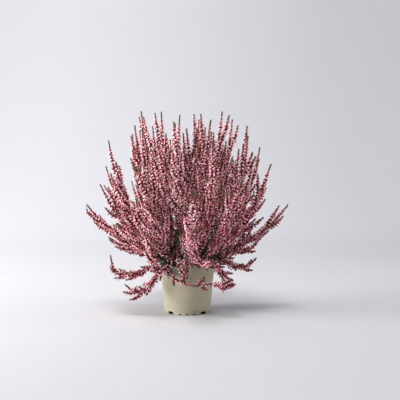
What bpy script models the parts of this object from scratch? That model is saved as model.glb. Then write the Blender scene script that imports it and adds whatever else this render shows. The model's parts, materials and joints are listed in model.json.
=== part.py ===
"""Potted heather: a bushy heather with upright bud spikes, in a round thin-walled plastic growing pot.

Units are metres, +Z is up, and the origin is the centre of the pot's base on the surface that it stands on.
Run it with: blender --background --python part.py
"""

import math

import bmesh
import bpy
import numpy as np
from mathutils import Vector, noise

MM = 0.001

# Pot: a 10.5 cm growing pot with a stepped rim band and a notched foot ring
RIM_RADIUS = 52.5 * MM
POT_HEIGHT = 87 * MM
BAND_HEIGHT = 14 * MM
BAND_FLARE = 1.9 * MM
BAND_STEP = 1.7 * MM
BASE_RADIUS = 42.6 * MM
FOOT_HEIGHT = 7 * MM
FOOT_INSET = 0.8 * MM
FOOT_WIDTH = 2.0 * MM
RECESS = 2.5 * MM
WALL = 1.2 * MM
POT_STEPS = 36
DRAINS = 4
DRAIN_WIDTH = 12.5 * MM
DRAIN_HEIGHT = 5 * MM
NOTCHES_BETWEEN_DRAINS = 3
NOTCH_SPACING = math.radians(18)
NOTCH_WIDTH = 5 * MM
NOTCH_HEIGHT = 2.4 * MM
FIRST_DRAIN = math.radians(-45)

# Soil: fills the pot to a little under its rim
GAP = 0.3 * MM
SOIL_TOP = 75 * MM
SOIL_MOUND = 1.5 * MM
SOIL_CRUMBS = 1.3 * MM
SOIL_STEPS = 18

# Cuttings: each pot is planted with five, which branch just above the soil
CUTTINGS = 5
CUTTING_RING = 23 * MM
FIRST_CUTTING = math.radians(40)
TRUNK_RADIUS = 2.6 * MM
TRUNK_DEPTH = 16 * MM
TRUNK_TOP = 84 * MM
STEM_RADIUS = (1.5 * MM, 1.1 * MM)
STEM_BEND = math.radians(11)

# Shoots: how many of each habit, and where their tips stand
UPRIGHT = 16
LEANING = 20
LEAFY = 5
GOLDEN_ANGLE = math.radians(137.508)
UPRIGHT_SPREAD = 121 * MM
UPRIGHT_TIP = (320 * MM, 380 * MM)
LEANING_FROM_VERTICAL = (59, 34, 49, 28, 41)
LEANING_LENGTH = ((25, 35, 48, 59), (280 * MM, 266 * MM, 236 * MM, 216 * MM))
LEAFY_FROM_VERTICAL = (54, 30)
LEAFY_LENGTH = 70 * MM
# The angle from vertical at the root and at the tip, for a shoot whose tip is seen at LEAN_SEEN from its root
LEAN_SEEN = (0, 10, 22, 32, 48, 58, 70)
LEAN_AT_ROOT = (0, 12, 40, 55, 65, 64, 70)
LEAN_AT_TIP = (0, 6, 6, 10, 30, 38, 50)
SWAY = 14 * MM
# Shoots by hand, each as points of azimuth in degrees, distance from the pot's axis and height in mm: those that
# lean out over the rim and turn up, and those that trail
OVER_RIM = (
    ((222, 30, 96), (222, 54, 98), (225, 76, 108), (228, 98, 132), (229, 116, 166), (229, 128, 206)),
    ((280, 30, 97), (278, 52, 101), (276, 72, 116), (275, 90, 144), (276, 102, 182), (279, 108, 214)),
)
TRAILING = (
    ((216, 30, 96), (213, 58, 98), (206, 80, 80), (198, 108, 70), (193, 132, 76), (191, 140, 104)),
    ((238, 32, 96), (232, 60, 95), (222, 74, 68), (212, 86, 44), (205, 102, 42), (201, 116, 54)),
    ((170, 34, 97), (171, 62, 102), (173, 92, 108), (174, 120, 117), (175, 147, 134)),
    ((254, 33, 97), (256, 58, 98), (261, 70, 88), (266, 76, 74), (268, 77, 62)),
    ((240, 34, 97), (236, 57, 96), (240, 63, 79), (260, 64, 62), (282, 67, 56), (302, 80, 59), (314, 98, 57)),
    ((300, 36, 97), (304, 60, 99), (310, 78, 88), (317, 88, 74), (323, 98, 66)),
    ((342, 34, 97), (344, 60, 98), (345, 84, 86), (347, 108, 84), (348, 126, 99)),
    ((58, 32, 97), (60, 60, 98), (62, 80, 82), (60, 98, 70), (56, 116, 74)),
    ((18, 34, 98), (18, 62, 104), (17, 94, 106), (15, 122, 112), (14, 143, 132)),
    ((88, 33, 97), (88, 58, 99), (89, 74, 84), (92, 88, 66), (96, 104, 64)),
)

# Flowering part of a shoot, as shares of its length from the tip, and its radius along them
FLOWERING_SHARE = {"upright": 0.79, "leaning": 0.82, "trailing": 0.64}
SPIKE_GIRTH = {"upright": 1.0, "leaning": 0.95, "trailing": 0.68}
SPIKE_SHARES = (0.0, 0.05, 0.12, 0.28, 0.5, 0.75, 0.94, 1.0)
SPIKE_RADII = tuple(r * MM for r in (0.5, 2.0, 3.4, 5.2, 7.8, 8.4, 4.4, 2.2))
LEAFY_SHARE = 0.68
LEAFY_RADII = tuple(r * MM for r in (0.6, 2.4, 3.2, 3.6, 3.7, 3.7, 3.2, 1.8))
BUD_PITCH = 13.6 * MM
BUD_SIDES = 6
BUD_PEAK = 1.14
BUD_VALLEY = 0.6
BUD_LIFT = 0.6
LEAF_PITCH = 6.6 * MM
LEAF_SIDES = 4
LEAF_PEAK = 1.2
LEAF_VALLEY = 0.5

# Side spikes: one stands beside the tip of a long spike, others branch from its lower part
BESIDE_OFFSET = 13.5 * MM
BESIDE_FROM = 0.66
BESIDE_TIPS = (0.12, 0.3)
BESIDE_RADII = tuple(r * MM for r in (0.5, 2.0, 3.0, 3.8, 4.3, 4.4, 4.0, 2.4))
BESIDE_LEAST_SPIKE = 130 * MM
BRANCH_FROM = (0.08, 0.3)
BRANCH_LENGTH = 58 * MM
BRANCH_ANGLE = math.radians(33)
BRANCH_RADII = tuple(r * MM for r in (0.5, 1.8, 2.9, 4.0, 4.6, 4.6, 4.0, 2.2))
BRANCH_SIDES = 4
TWIGS = (0.3, 0.55)
TWIG_LENGTH = 26 * MM
DIRECTIONS = 12

# Room that the shoots keep from each other and from the pot
SAMPLES = 40
ROOM = 1.3 * MM
ROUNDS = 10
STEPS = 12
PUSH = 0.5
ROOTED = 30 * MM
SEED = 11

COLOURS = {
    "pot_plastic": ((0.53, 0.51, 0.41), 0.5),
    "peat": ((0.055, 0.04, 0.03), 0.95),
    "bark": ((0.16, 0.10, 0.07), 0.85),
    "leaf": ((0.07, 0.10, 0.045), 0.6),
    "bud": ((0.50, 0.17, 0.23), 0.5),
}


def clear_scene():
    for obj in list(bpy.data.objects):
        bpy.data.objects.remove(obj, do_unlink=True)


def material(name):
    found = bpy.data.materials.get(name)
    if found:
        return found
    colour, roughness = COLOURS[name]
    made = bpy.data.materials.new(name)
    made.use_nodes = True
    shader = made.node_tree.nodes["Principled BSDF"]
    shader.inputs["Base Color"].default_value = (*colour, 1)
    shader.inputs["Roughness"].default_value = roughness
    shader.inputs["Metallic"].default_value = 0
    return made


def new_collection(name, is_guide=False):
    made = bpy.data.collections.new(name)
    bpy.context.scene.collection.children.link(made)
    made.hide_render = is_guide
    return made


def new_object(name, data, collection, slot=None, at=(0, 0, 0)):
    obj = bpy.data.objects.new(name, data)
    obj.location = at
    collection.objects.link(obj)
    if slot:
        data.materials.append(material(slot))
    return obj


def mesh_from(bm, name):
    mesh = bpy.data.meshes.new(name)
    bm.to_mesh(mesh)
    bm.free()
    return mesh


# Lines of the shoots


def polar(azimuth, distance, height):
    return np.array([distance * math.cos(azimuth), distance * math.sin(azimuth), height])


def unit(vectors):
    return vectors / np.maximum(np.linalg.norm(vectors, axis=-1, keepdims=True), 1e-12)


def along(points):
    """The distance along a line to each of its points."""
    steps = np.linalg.norm(np.diff(points, axis=0), axis=1)
    return np.concatenate([[0], np.cumsum(steps)])


def resampled(points, count):
    """The same line as evenly spaced points."""
    at = along(points)
    wanted = np.linspace(0, at[-1], count)
    return np.stack([np.interp(wanted, at, points[:, i]) for i in range(3)], axis=1)


def bezier(a, b, c, d):
    t = np.linspace(0, 1, 80)[:, None]
    return a * (1 - t) ** 3 + 3 * b * t * (1 - t) ** 2 + 3 * c * t**2 * (1 - t) + d * t**3


def through(points):
    """A smooth line through the points, by Catmull and Rom's rule."""
    ends = [2 * points[0] - points[1], *points, 2 * points[-1] - points[-2]]
    runs = []
    for a, b, c, d in zip(ends, ends[1:], ends[2:], ends[3:]):
        runs.append(bezier(b, b + (c - a) / 6, c - (d - b) / 6, c)[:-1])
    return np.concatenate([*runs, [points[-1]]])


def arching(root, tip, sway=0.0):
    """A shoot's line from its root to its tip, which leans out low down and turns up towards the tip."""
    chord = tip - root
    reach, rise = math.hypot(chord[0], chord[1]), chord[2]
    outwards = np.array([chord[0], chord[1], 0]) / max(reach, 1e-9)
    seen = math.degrees(math.atan2(reach, rise))
    ends = []
    for leans in (LEAN_AT_ROOT, LEAN_AT_TIP):
        lean = math.radians(np.interp(seen, LEAN_SEEN, leans))
        ends.append(outwards * math.sin(lean) + np.array([0, 0, math.cos(lean)]))
    length = np.linalg.norm(chord)
    sideways = np.array([-outwards[1], outwards[0], 0]) * sway
    return bezier(root, root + ends[0] * length * 0.35, tip - ends[1] * length * 0.42 + sideways, tip)


def cutting_places():
    places = [np.array([0, 0, TRUNK_TOP])]
    for i in range(CUTTINGS - 1):
        places.append(polar(FIRST_CUTTING + i * math.tau / (CUTTINGS - 1), CUTTING_RING, TRUNK_TOP))
    return places


def nearest_cutting(place, places, first=1):
    away = [np.linalg.norm((place - p)[:2]) for p in places[first:]]
    return first + int(np.argmin(away))


def planned_shoots():
    """Every shoot as (habit, cutting, line), before they are bent clear of each other."""
    draw = np.random.default_rng(SEED)
    places = cutting_places()
    shoots = []
    inner = UPRIGHT // 3
    for i in range(UPRIGHT):
        azimuth = i * GOLDEN_ANGLE + draw.uniform(-0.12, 0.12)
        distance = UPRIGHT_SPREAD * math.sqrt((i + 0.5) / UPRIGHT)
        tip = polar(azimuth, distance, draw.uniform(*UPRIGHT_TIP))
        cutting = 0 if i < inner else nearest_cutting(tip, places)
        shoots.append(("upright", cutting, arching(places[cutting], tip, draw.uniform(-SWAY, SWAY))))
    centre = np.array([0, 0, TRUNK_TOP])
    for i in range(LEANING):
        seen = LEANING_FROM_VERTICAL[i % len(LEANING_FROM_VERTICAL)]
        length = np.interp(seen, *LEANING_LENGTH)
        jitter = draw.uniform(-1, 1, 2) if i % len(LEANING_FROM_VERTICAL) else (0, 0)
        azimuth = math.pi + i * math.tau / LEANING + 0.13 * jitter[0]
        lean = math.radians(seen)
        tip = centre + polar(azimuth, math.sin(lean), math.cos(lean)) * length * (1 + 0.06 * jitter[1])
        cutting = nearest_cutting(tip, places)
        shoots.append(("leaning", cutting, arching(places[cutting], tip, draw.uniform(-SWAY, SWAY))))
    for habit, routes in (("leaning", OVER_RIM), ("trailing", TRAILING)):
        for route in routes:
            points = [polar(math.radians(a), r * MM, z * MM) for a, r, z in route]
            cutting = nearest_cutting(points[0], places)
            shoots.append((habit, cutting, through([places[cutting], *points])))
    for i in range(LEAFY):
        lean = math.radians(LEAFY_FROM_VERTICAL[i % 2])
        azimuth = FIRST_CUTTING + (i + 0.5) * math.tau / LEAFY
        cutting = nearest_cutting(polar(azimuth, CUTTING_RING, 0), places)
        tip = places[cutting] + polar(azimuth, math.sin(lean), math.cos(lean)) * LEAFY_LENGTH
        shoots.append(("leafy", cutting, arching(places[cutting], tip)))
    return shoots


def profile_of(habit):
    """(share of the shoot's length that is budded or leafy, shares along it from the tip, radii there)"""
    if habit == "leafy":
        return LEAFY_SHARE, SPIKE_SHARES, LEAFY_RADII
    return FLOWERING_SHARE[habit], SPIKE_SHARES, [r * SPIKE_GIRTH[habit] for r in SPIKE_RADII]


def radii_along(habit, length):
    """The radius at each sample of a shoot: bare stem, then its budded or leafy part."""
    share, shares, radii = profile_of(habit)
    from_tip = np.linspace(1, 0, SAMPLES)
    radius = np.interp(from_tip / share, shares, radii)
    if habit == "leafy":
        radius = radius * 2
    return np.where(from_tip > share, STEM_RADIUS[0], radius)


def pot_guard():
    """Fixed points with radii that stand for the pot's wall and rim."""
    points, size = [], 4 * MM
    for height in np.arange(30 * MM, POT_HEIGHT, 7 * MM):
        outer = np.interp(height, (0, POT_HEIGHT), (BASE_RADIUS, RIM_RADIUS))
        for azimuth in np.linspace(0, math.tau, 60, endpoint=False):
            points.append(polar(azimuth, outer - size + 1 * MM, height))
    rim = [polar(a, RIM_RADIUS - 2 * MM, POT_HEIGHT - 2 * MM) for a in np.linspace(0, math.tau, 90)]
    points += rim
    return np.array(points), np.array([size] * (len(points) - len(rim)) + [2.2 * MM] * len(rim))


def near_pairs(points, radii, owner, stem_of, count):
    """Pairs of samples of different shoots, or of a shoot and the pot, that are near enough to matter."""
    first, second = [], []
    reach = 14 * MM
    for start in range(0, count, 400):
        block = slice(start, min(start + 400, count))
        away = np.linalg.norm(points[block, None] - points[None], axis=2)
        close = away < radii[block, None] + radii[None] + reach
        close &= owner[block, None] != owner[None]
        close &= (stem_of[block, None] != stem_of[None]) | (stem_of[block, None] < 0)
        a, b = np.nonzero(close)
        keep = b > a + start
        first.append(a[keep] + start)
        second.append(b[keep])
    return np.concatenate(first), np.concatenate(second)


def bent_clear(shoots):
    """Bends the shoots' lines sideways until each has its room. Stems of one cutting may meet: they are fused."""
    lines = np.array([resampled(line, SAMPLES) for _, _, line in shoots])
    sizes = np.array([radii_along(habit, along(line)[-1]) for (habit, _, _), line in zip(shoots, lines)])
    guard, guard_sizes = pot_guard()
    count = lines.shape[0] * SAMPLES
    owner = np.concatenate([np.repeat(np.arange(len(shoots)), SAMPLES), np.full(len(guard), len(shoots))])
    cutting = np.repeat([c for _, c, _ in shoots], SAMPLES)
    is_stem = (sizes == STEM_RADIUS[0]).ravel()
    stem_of = np.concatenate([np.where(is_stem, cutting, -1), np.full(len(guard), -1)])
    radii = np.concatenate([sizes.ravel() * BUD_PEAK, guard_sizes])
    moves = np.array([np.clip(along(line) / ROOTED, 0, 1) for line in lines])[:, :, None]
    for _ in range(ROUNDS):
        points = np.concatenate([lines.reshape(-1, 3), guard])
        first, second = near_pairs(points, radii, owner, stem_of, count)
        for _ in range(STEPS):
            points = np.concatenate([lines.reshape(-1, 3), guard])
            apart = points[first] - points[second]
            away = np.linalg.norm(apart, axis=1)
            short = np.maximum(radii[first] + radii[second] + ROOM - away, 0)
            push = apart / np.maximum(away, 1e-9)[:, None] * (short * PUSH)[:, None]
            shift = np.zeros_like(points)
            np.add.at(shift, first, push)
            np.add.at(shift, second, -push)
            shift = shift[:count].reshape(lines.shape)
            for _ in range(6):
                shift[:, 1:-1] = (shift[:, :-2] + 2 * shift[:, 1:-1] + shift[:, 2:]) / 4
                shift[:, -1] = (shift[:, -1] + shift[:, -2]) / 2
            lines = lines + shift * moves
        lines = np.array([resampled(line, SAMPLES) for line in lines])
    return lines, sizes


def frames_along(points):
    """Two directions square to a line at each of its points, carried along it without twist."""
    tangents = unit(np.gradient(points, axis=0))
    across = np.cross(tangents[0], [0.3, 1.0, 0.2])
    acrosses = []
    for tangent in tangents:
        across = unit(across - tangent * (across @ tangent))
        acrosses.append(across)
    acrosses = np.array(acrosses)
    return tangents, acrosses, np.cross(tangents, acrosses)


def tail(line, share):
    """The last share of a line, towards its tip."""
    at = along(line)
    start = at[-1] * (1 - share)
    wanted = np.linspace(start, at[-1], SAMPLES)
    return np.stack([np.interp(wanted, at, line[:, i]) for i in range(3)], axis=1)


def beside_tip(spike, direction, tip_share):
    """A side spike's line: it leaves the spike's core, then runs up beside it and stops short of its tip."""
    _, across, beside = frames_along(spike)
    begin, end = round(SAMPLES * (1 - BESIDE_FROM)), round(SAMPLES * (1 - tip_share))
    share = np.linspace(0, 1, end - begin)
    out = BESIDE_OFFSET * (share * (2 - share)) ** 0.8
    sideways = across * math.cos(direction) + beside * math.sin(direction)
    return resampled(spike[begin:end] + sideways[begin:end] * out[:, None], SAMPLES // 2)


def branching(spike, direction, share, length):
    """A branch's line: it leaves the shoot at an angle, then bends up a little."""
    tangents, across, beside = frames_along(spike)
    i = round(share * (SAMPLES - 1))
    sideways = across[i] * math.cos(direction) + beside[i] * math.sin(direction)
    reach = tangents[i] * math.cos(BRANCH_ANGLE) + sideways * math.sin(BRANCH_ANGLE)
    onwards = unit(reach + 0.3 * tangents[i] + np.array([0, 0, 0.3]))
    middle = spike[i] + reach * length * 0.5
    return resampled(through([spike[i], middle, middle + onwards * length * 0.5]), SAMPLES // 2)


def clearance(line, sizes, others, other_sizes):
    away = np.linalg.norm(line[:, None] - others[None], axis=2)
    return float((away - sizes[:, None] - other_sizes[None]).min())


def side_shoots(shoots, lines, sizes):
    """For each shoot, its side spikes or twigs as (line, radii), each where it has the most room."""
    draw = np.random.default_rng(SEED + 1)
    found = [[] for _ in shoots]
    for i, (habit, _, _) in enumerate(shoots):
        share = profile_of(habit)[0]
        spike = tail(lines[i], share)
        begin = draw.uniform(*BRANCH_FROM)
        tip_share = draw.uniform(*BESIDE_TIPS)
        wanted = []
        if habit == "leafy":
            wanted = [(branching, (at, TWIG_LENGTH), LEAFY_RADII) for at in TWIGS]
        elif habit != "trailing":
            wanted.append((branching, (begin, BRANCH_LENGTH), BRANCH_RADII))
            if along(spike)[-1] > BESIDE_LEAST_SPIKE:
                wanted.append((beside_tip, (tip_share,), BESIDE_RADII))
        others = [lines[j] for j in range(len(lines)) if j != i]
        other_sizes = [sizes[j] * BUD_PEAK for j in range(len(lines)) if j != i]
        for line, radii in [side for sides in found[:i] for side in sides]:
            others.append(line)
            other_sizes.append(side_sizes(radii))
        for rule, values, radii in wanted:
            tries = []
            for turn in range(DIRECTIONS):
                line = rule(spike, turn * math.tau / DIRECTIONS, *values)
                room = clearance(line, side_sizes(radii), np.concatenate(others), np.concatenate(other_sizes))
                tries.append((room, turn, line))
            room, _, line = max(tries, key=lambda t: t[:2])
            if room > ROOM:
                found[i].append((line, radii))
                others.append(line)
                other_sizes.append(side_sizes(radii))
    return found


def side_sizes(radii):
    return np.interp(np.linspace(1, 0, SAMPLES // 2), SPIKE_SHARES, radii) * BUD_PEAK


# Solids that follow a line


def raised_shoot(name, line, radii, sides, pitch, peak, valley):
    """A tapering shoot along a line, whose surface is raised into buds or leaves that point up and out.
    It starts as a prism cut into rings. On each ring every second corner is a tip, and the next ring is set over
    by one corner, so that each tip stands between the two below it."""
    length = along(line)[-1]
    rings = max(4, round(length / pitch))
    bm = bmesh.new()
    bmesh.ops.create_cone(bm, cap_ends=True, segments=sides, radius1=1, radius2=1, depth=1)
    rising = [e for e in bm.edges if abs(e.verts[0].co.z - e.verts[1].co.z) > 0.5]
    bmesh.ops.subdivide_edges(bm, edges=rising, cuts=rings - 1, use_grid_fill=True)
    at = along(line)
    tangents, across, beside = frames_along(line)
    first = math.atan2(bm.verts[:][0].co.y, bm.verts[:][0].co.x)
    for v in bm.verts:
        ring = round((v.co.z + 0.5) * rings)
        turn = math.atan2(v.co.y, v.co.x)
        corner = round((turn - first) / (math.tau / sides))
        is_tip = (ring + corner) % 2 == 0 and 0 < ring < rings
        distance = (ring + (BUD_LIFT if is_tip else 0)) * length / rings
        from_tip = 1 - ring / rings
        radius = np.interp(from_tip, SPIKE_SHARES, radii)
        if 0 < ring < rings:
            radius *= peak if is_tip else valley
        pick = [np.interp(distance, at, a[:, k]) for a in (line, across, beside) for k in range(3)]
        centre, u, w = Vector(pick[0:3]), Vector(pick[3:6]), Vector(pick[6:9])
        v.co = centre + (u * math.cos(turn) + w * math.sin(turn)) * (radius if ring < rings else 0)
    bmesh.ops.remove_doubles(bm, verts=bm.verts, dist=1e-6)
    bmesh.ops.triangulate(bm, faces=[f for f in bm.faces if len(f.verts) == 4], quad_method="SHORT_EDGE")
    bmesh.ops.recalc_face_normals(bm, faces=bm.faces)
    return mesh_from(bm, name)


def tube(name, line, radii, collection, resolution=0):
    """A closed tapering tube along a line, as a mesh."""
    curve = bpy.data.curves.new(name, "CURVE")
    curve.dimensions = "3D"
    curve.bevel_depth = MM
    curve.bevel_resolution = resolution
    curve.use_fill_caps = True
    spline = curve.splines.new("POLY")
    spline.points.add(len(line) - 1)
    for point, place, radius in zip(spline.points, line, radii):
        point.co = (*place, 1)
        point.radius = radius / MM
    guide = new_object(name + "_guide", curve, collection)
    graph = bpy.context.evaluated_depsgraph_get()
    mesh = bpy.data.meshes.new_from_object(guide.evaluated_get(graph))
    bpy.data.objects.remove(guide)
    bm = bmesh.new()
    bm.from_mesh(mesh)
    bmesh.ops.remove_doubles(bm, verts=bm.verts, dist=1e-6)
    bmesh.ops.recalc_face_normals(bm, faces=bm.faces)
    bm.to_mesh(mesh)
    bm.free()
    return new_object(name, mesh, collection)


def fused(base, others):
    """Joins the other solids into base by one Boolean union, and removes them."""
    pieces = new_collection("to_fuse")
    for obj in others:
        for held in list(obj.users_collection):
            held.objects.unlink(obj)
        pieces.objects.link(obj)
    join = base.modifiers.new("Join", "BOOLEAN")
    join.operation = "UNION"
    join.operand_type = "COLLECTION"
    join.collection = pieces
    join.solver = "MANIFOLD"
    graph = bpy.context.evaluated_depsgraph_get()
    base_mesh = bpy.data.meshes.new_from_object(base.evaluated_get(graph))
    base.modifiers.clear()
    base.data = base_mesh
    for obj in others:
        bpy.data.objects.remove(obj)
    bpy.data.collections.remove(pieces)
    return base


# Pot and soil


def turned(name, profile, steps, collection, slot):
    """A solid turned from a profile of (radius, height) points, from the axis round and back to it."""
    mesh = bpy.data.meshes.new(name)
    edges = [(i, i + 1) for i in range(len(profile) - 1)]
    mesh.from_pydata([(r, 0, z) for r, z in profile], edges, [])
    obj = new_object(name, mesh, collection, slot)
    turn = obj.modifiers.new("Turn", "SCREW")
    turn.axis = "Z"
    turn.steps = turn.render_steps = steps
    turn.use_merge_vertices = True
    turn.merge_threshold = 1e-4
    return obj


def wall_radius(height):
    """The pot's outer radius at a height between the foot and the band."""
    band_bottom = POT_HEIGHT - BAND_HEIGHT
    top = RIM_RADIUS - BAND_FLARE - BAND_STEP
    return np.interp(height, (FOOT_HEIGHT, band_bottom), (BASE_RADIUS, top))


def pot_profile():
    band_bottom = POT_HEIGHT - BAND_HEIGHT
    band_outer = RIM_RADIUS - BAND_FLARE
    wall_top = band_outer - BAND_STEP
    foot = BASE_RADIUS - FOOT_INSET
    floor_top = RECESS + WALL
    return [
        (0, floor_top),
        (foot - WALL, floor_top),
        (BASE_RADIUS - WALL, FOOT_HEIGHT + WALL),
        (wall_top - WALL, band_bottom),
        (band_outer - WALL, band_bottom + WALL),
        (RIM_RADIUS - WALL, POT_HEIGHT - 0.4 * MM),
        (RIM_RADIUS - 0.7 * WALL, POT_HEIGHT),
        (RIM_RADIUS - 0.3 * WALL, POT_HEIGHT),
        (RIM_RADIUS, POT_HEIGHT - 0.4 * MM),
        (band_outer, band_bottom),
        (wall_top, band_bottom - 0.6 * MM),
        (BASE_RADIUS, FOOT_HEIGHT + 0.5 * MM),
        (foot, FOOT_HEIGHT),
        (foot - 0.6 * MM, 0),
        (foot - 0.6 * MM - FOOT_WIDTH, 0),
        (foot - 0.6 * MM - FOOT_WIDTH, RECESS),
        (0, RECESS),
    ]


def foot_cutter(name, azimuth, width, height, inwards, collection):
    """A box that cuts an opening through the foot ring, from below to the given height."""
    bm = bmesh.new()
    bmesh.ops.create_cube(bm, size=1)
    below = 1 * MM
    outer = BASE_RADIUS + 3 * MM
    middle = (outer + inwards) / 2
    size = (outer - inwards, width, height + below)
    bmesh.ops.scale(bm, vec=size, verts=bm.verts)
    cutter = new_object(name, mesh_from(bm, name), collection, at=polar(azimuth, middle, (height - below) / 2))
    cutter.rotation_euler.z = azimuth
    cutter.hide_render = True
    cutter.display_type = "WIRE"
    return cutter


def make_pot(parts):
    pot = turned("pot", pot_profile(), POT_STEPS, parts, "pot_plastic")
    cutters = new_collection("pot_cutters", is_guide=True)
    ring_inside = BASE_RADIUS - FOOT_INSET - FOOT_WIDTH - 2.2 * MM
    for i in range(DRAINS):
        azimuth = FIRST_DRAIN + i * math.tau / DRAINS
        foot_cutter(f"drain_{i}", azimuth, DRAIN_WIDTH, DRAIN_HEIGHT, ring_inside, cutters)
        middle = azimuth + math.pi / DRAINS
        for k in range(NOTCHES_BETWEEN_DRAINS):
            at = middle + (k - (NOTCHES_BETWEEN_DRAINS - 1) / 2) * NOTCH_SPACING
            foot_cutter(f"notch_{i}_{k}", at, NOTCH_WIDTH, NOTCH_HEIGHT, ring_inside, cutters)
    cut = pot.modifiers.new("Drains", "BOOLEAN")
    cut.operation = "DIFFERENCE"
    cut.operand_type = "COLLECTION"
    cut.collection = cutters
    return pot


def make_soil(parts, places):
    bottom = RECESS + WALL + GAP
    corner = FOOT_HEIGHT + WALL + GAP
    inside = WALL + GAP + 0.1 * MM
    top_radius = wall_radius(POT_HEIGHT - BAND_HEIGHT) - inside
    profile = [
        (0, SOIL_TOP + SOIL_MOUND),
        (12 * MM, SOIL_TOP + SOIL_MOUND * 0.9),
        (27 * MM, SOIL_TOP + SOIL_MOUND * 0.6),
        (38 * MM, SOIL_TOP + SOIL_MOUND * 0.3),
        (top_radius, POT_HEIGHT - BAND_HEIGHT - 1 * MM),
        (BASE_RADIUS - inside, corner),
        (BASE_RADIUS - FOOT_INSET - inside, bottom),
        (0, bottom),
    ]
    shape = turned("soil_guide", profile, SOIL_STEPS, parts, None)
    graph = bpy.context.evaluated_depsgraph_get()
    mesh = bpy.data.meshes.new_from_object(shape.evaluated_get(graph))
    bpy.data.objects.remove(shape)
    for v in mesh.vertices:
        if v.co.z > POT_HEIGHT - BAND_HEIGHT - 0.5 * MM:
            v.co.z += SOIL_CRUMBS * noise.noise(v.co * 180)
    soil = new_object("potting_soil", mesh, parts, "peat")
    cutters = new_collection("soil_cutters", is_guide=True)
    for i, place in enumerate(places):
        bm = bmesh.new()
        wide = (TRUNK_RADIUS + GAP) / math.cos(math.pi / 8)
        depth = TRUNK_DEPTH + GAP
        high = 10 * MM
        bmesh.ops.create_cone(bm, cap_ends=True, segments=8, radius1=wide, radius2=wide, depth=depth + high)
        at = (place[0], place[1], SOIL_TOP + (high - depth) / 2)
        hole = new_object(f"stem_hole_{i}", mesh_from(bm, "stem_hole"), cutters, at=at)
        hole.hide_render = True
        hole.display_type = "WIRE"
    cut = soil.modifiers.new("Stem holes", "BOOLEAN")
    cut.operation = "DIFFERENCE"
    cut.operand_type = "COLLECTION"
    cut.collection = cutters
    return soil


# Plant


def make_woody_base(parts, index, place, stems):
    """One cutting's trunk with the bare lower stems of its shoots, all one body."""
    foot = np.array([place[0], place[1], SOIL_TOP - TRUNK_DEPTH])
    neck = place + np.array([0, 0, -2 * MM])
    top = place + np.array([0, 0, 2.5 * MM])
    radii = (TRUNK_RADIUS, TRUNK_RADIUS, TRUNK_RADIUS * 0.8)
    trunk = tube(f"woody_base_{index + 1}", [foot, neck, top], radii, parts, resolution=1)
    trunk.data.materials.append(material("bark"))
    pieces = []
    for i, stem in enumerate(stems):
        radii = np.linspace(*STEM_RADIUS, len(stem))
        pieces.append(tube(f"stem_{index}_{i}", stem, radii, parts))
    return fused(trunk, pieces)


def make_shoot(parts, name, line, habit, sides):
    """A bud spike with its side spikes, or a leafy shoot with its twigs. Leaves stand in crossed pairs."""
    slot, corners, pitch, peak, valley = "bud", BUD_SIDES, BUD_PITCH, BUD_PEAK, BUD_VALLEY
    if habit == "leafy":
        slot, corners, pitch, peak, valley = "leaf", LEAF_SIDES, LEAF_PITCH, LEAF_PEAK, LEAF_VALLEY
    mesh = raised_shoot(name, line, profile_of(habit)[2], corners, pitch, peak, valley)
    obj = new_object(name, mesh, parts, slot)
    others = []
    for i, (side, radii) in enumerate(sides):
        mesh = raised_shoot("side", side, radii, BRANCH_SIDES, pitch, peak, valley)
        others.append(new_object(f"side_{i}", mesh, parts))
    return fused(obj, others) if others else obj


def stem_below(line, share):
    """The bare stem of a shoot, from its root to just under its budded or leafy part."""
    at = along(line)
    end = at[-1] * (1 - share) - GAP
    tangents = unit(np.diff(line[at < end + STEM_RADIUS[0]], axis=0))
    turns = np.arccos(np.clip((tangents[1:] * tangents[:-1]).sum(axis=1), -1, 1))
    wanted = np.linspace(0, end, 2 + int(turns.sum() / STEM_BEND))
    return np.stack([np.interp(wanted, at, line[:, i]) for i in range(3)], axis=1)


def main():
    clear_scene()
    parts = new_collection("potted_heather")
    places = cutting_places()
    shoots = planned_shoots()
    lines, sizes = bent_clear(shoots)
    sides = side_shoots(shoots, lines, sizes)
    stems = [[] for _ in places]
    counts = {"flower_spike": 0, "leafy_shoot": 0}
    for (habit, cutting, _), line, side in zip(shoots, lines, sides):
        share = profile_of(habit)[0]
        stems[cutting].append(stem_below(line, share))
        kind = "leafy_shoot" if habit == "leafy" else "flower_spike"
        counts[kind] += 1
        make_shoot(parts, f"{kind}_{counts[kind]:02d}", tail(line, share), habit, side)
    for index, place in enumerate(places):
        make_woody_base(parts, index, place, stems[index])
    make_pot(parts)
    make_soil(parts, places)
    plant = bpy.data.objects.new("potted_heather", None)
    parts.objects.link(plant)
    for obj in parts.objects:
        if obj != plant:
            obj.parent = plant


main()
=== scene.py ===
"""Potted heather: a bud-flowering heather, upright and bushy, in the round plastic pot it was grown in.

Lengths are in metres, +Z is up, and the origin is the centre of the pot's base on the surface it stands on.
"""

import json
import math

import bmesh
import bpy
import numpy as np
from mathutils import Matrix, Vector, noise

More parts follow.
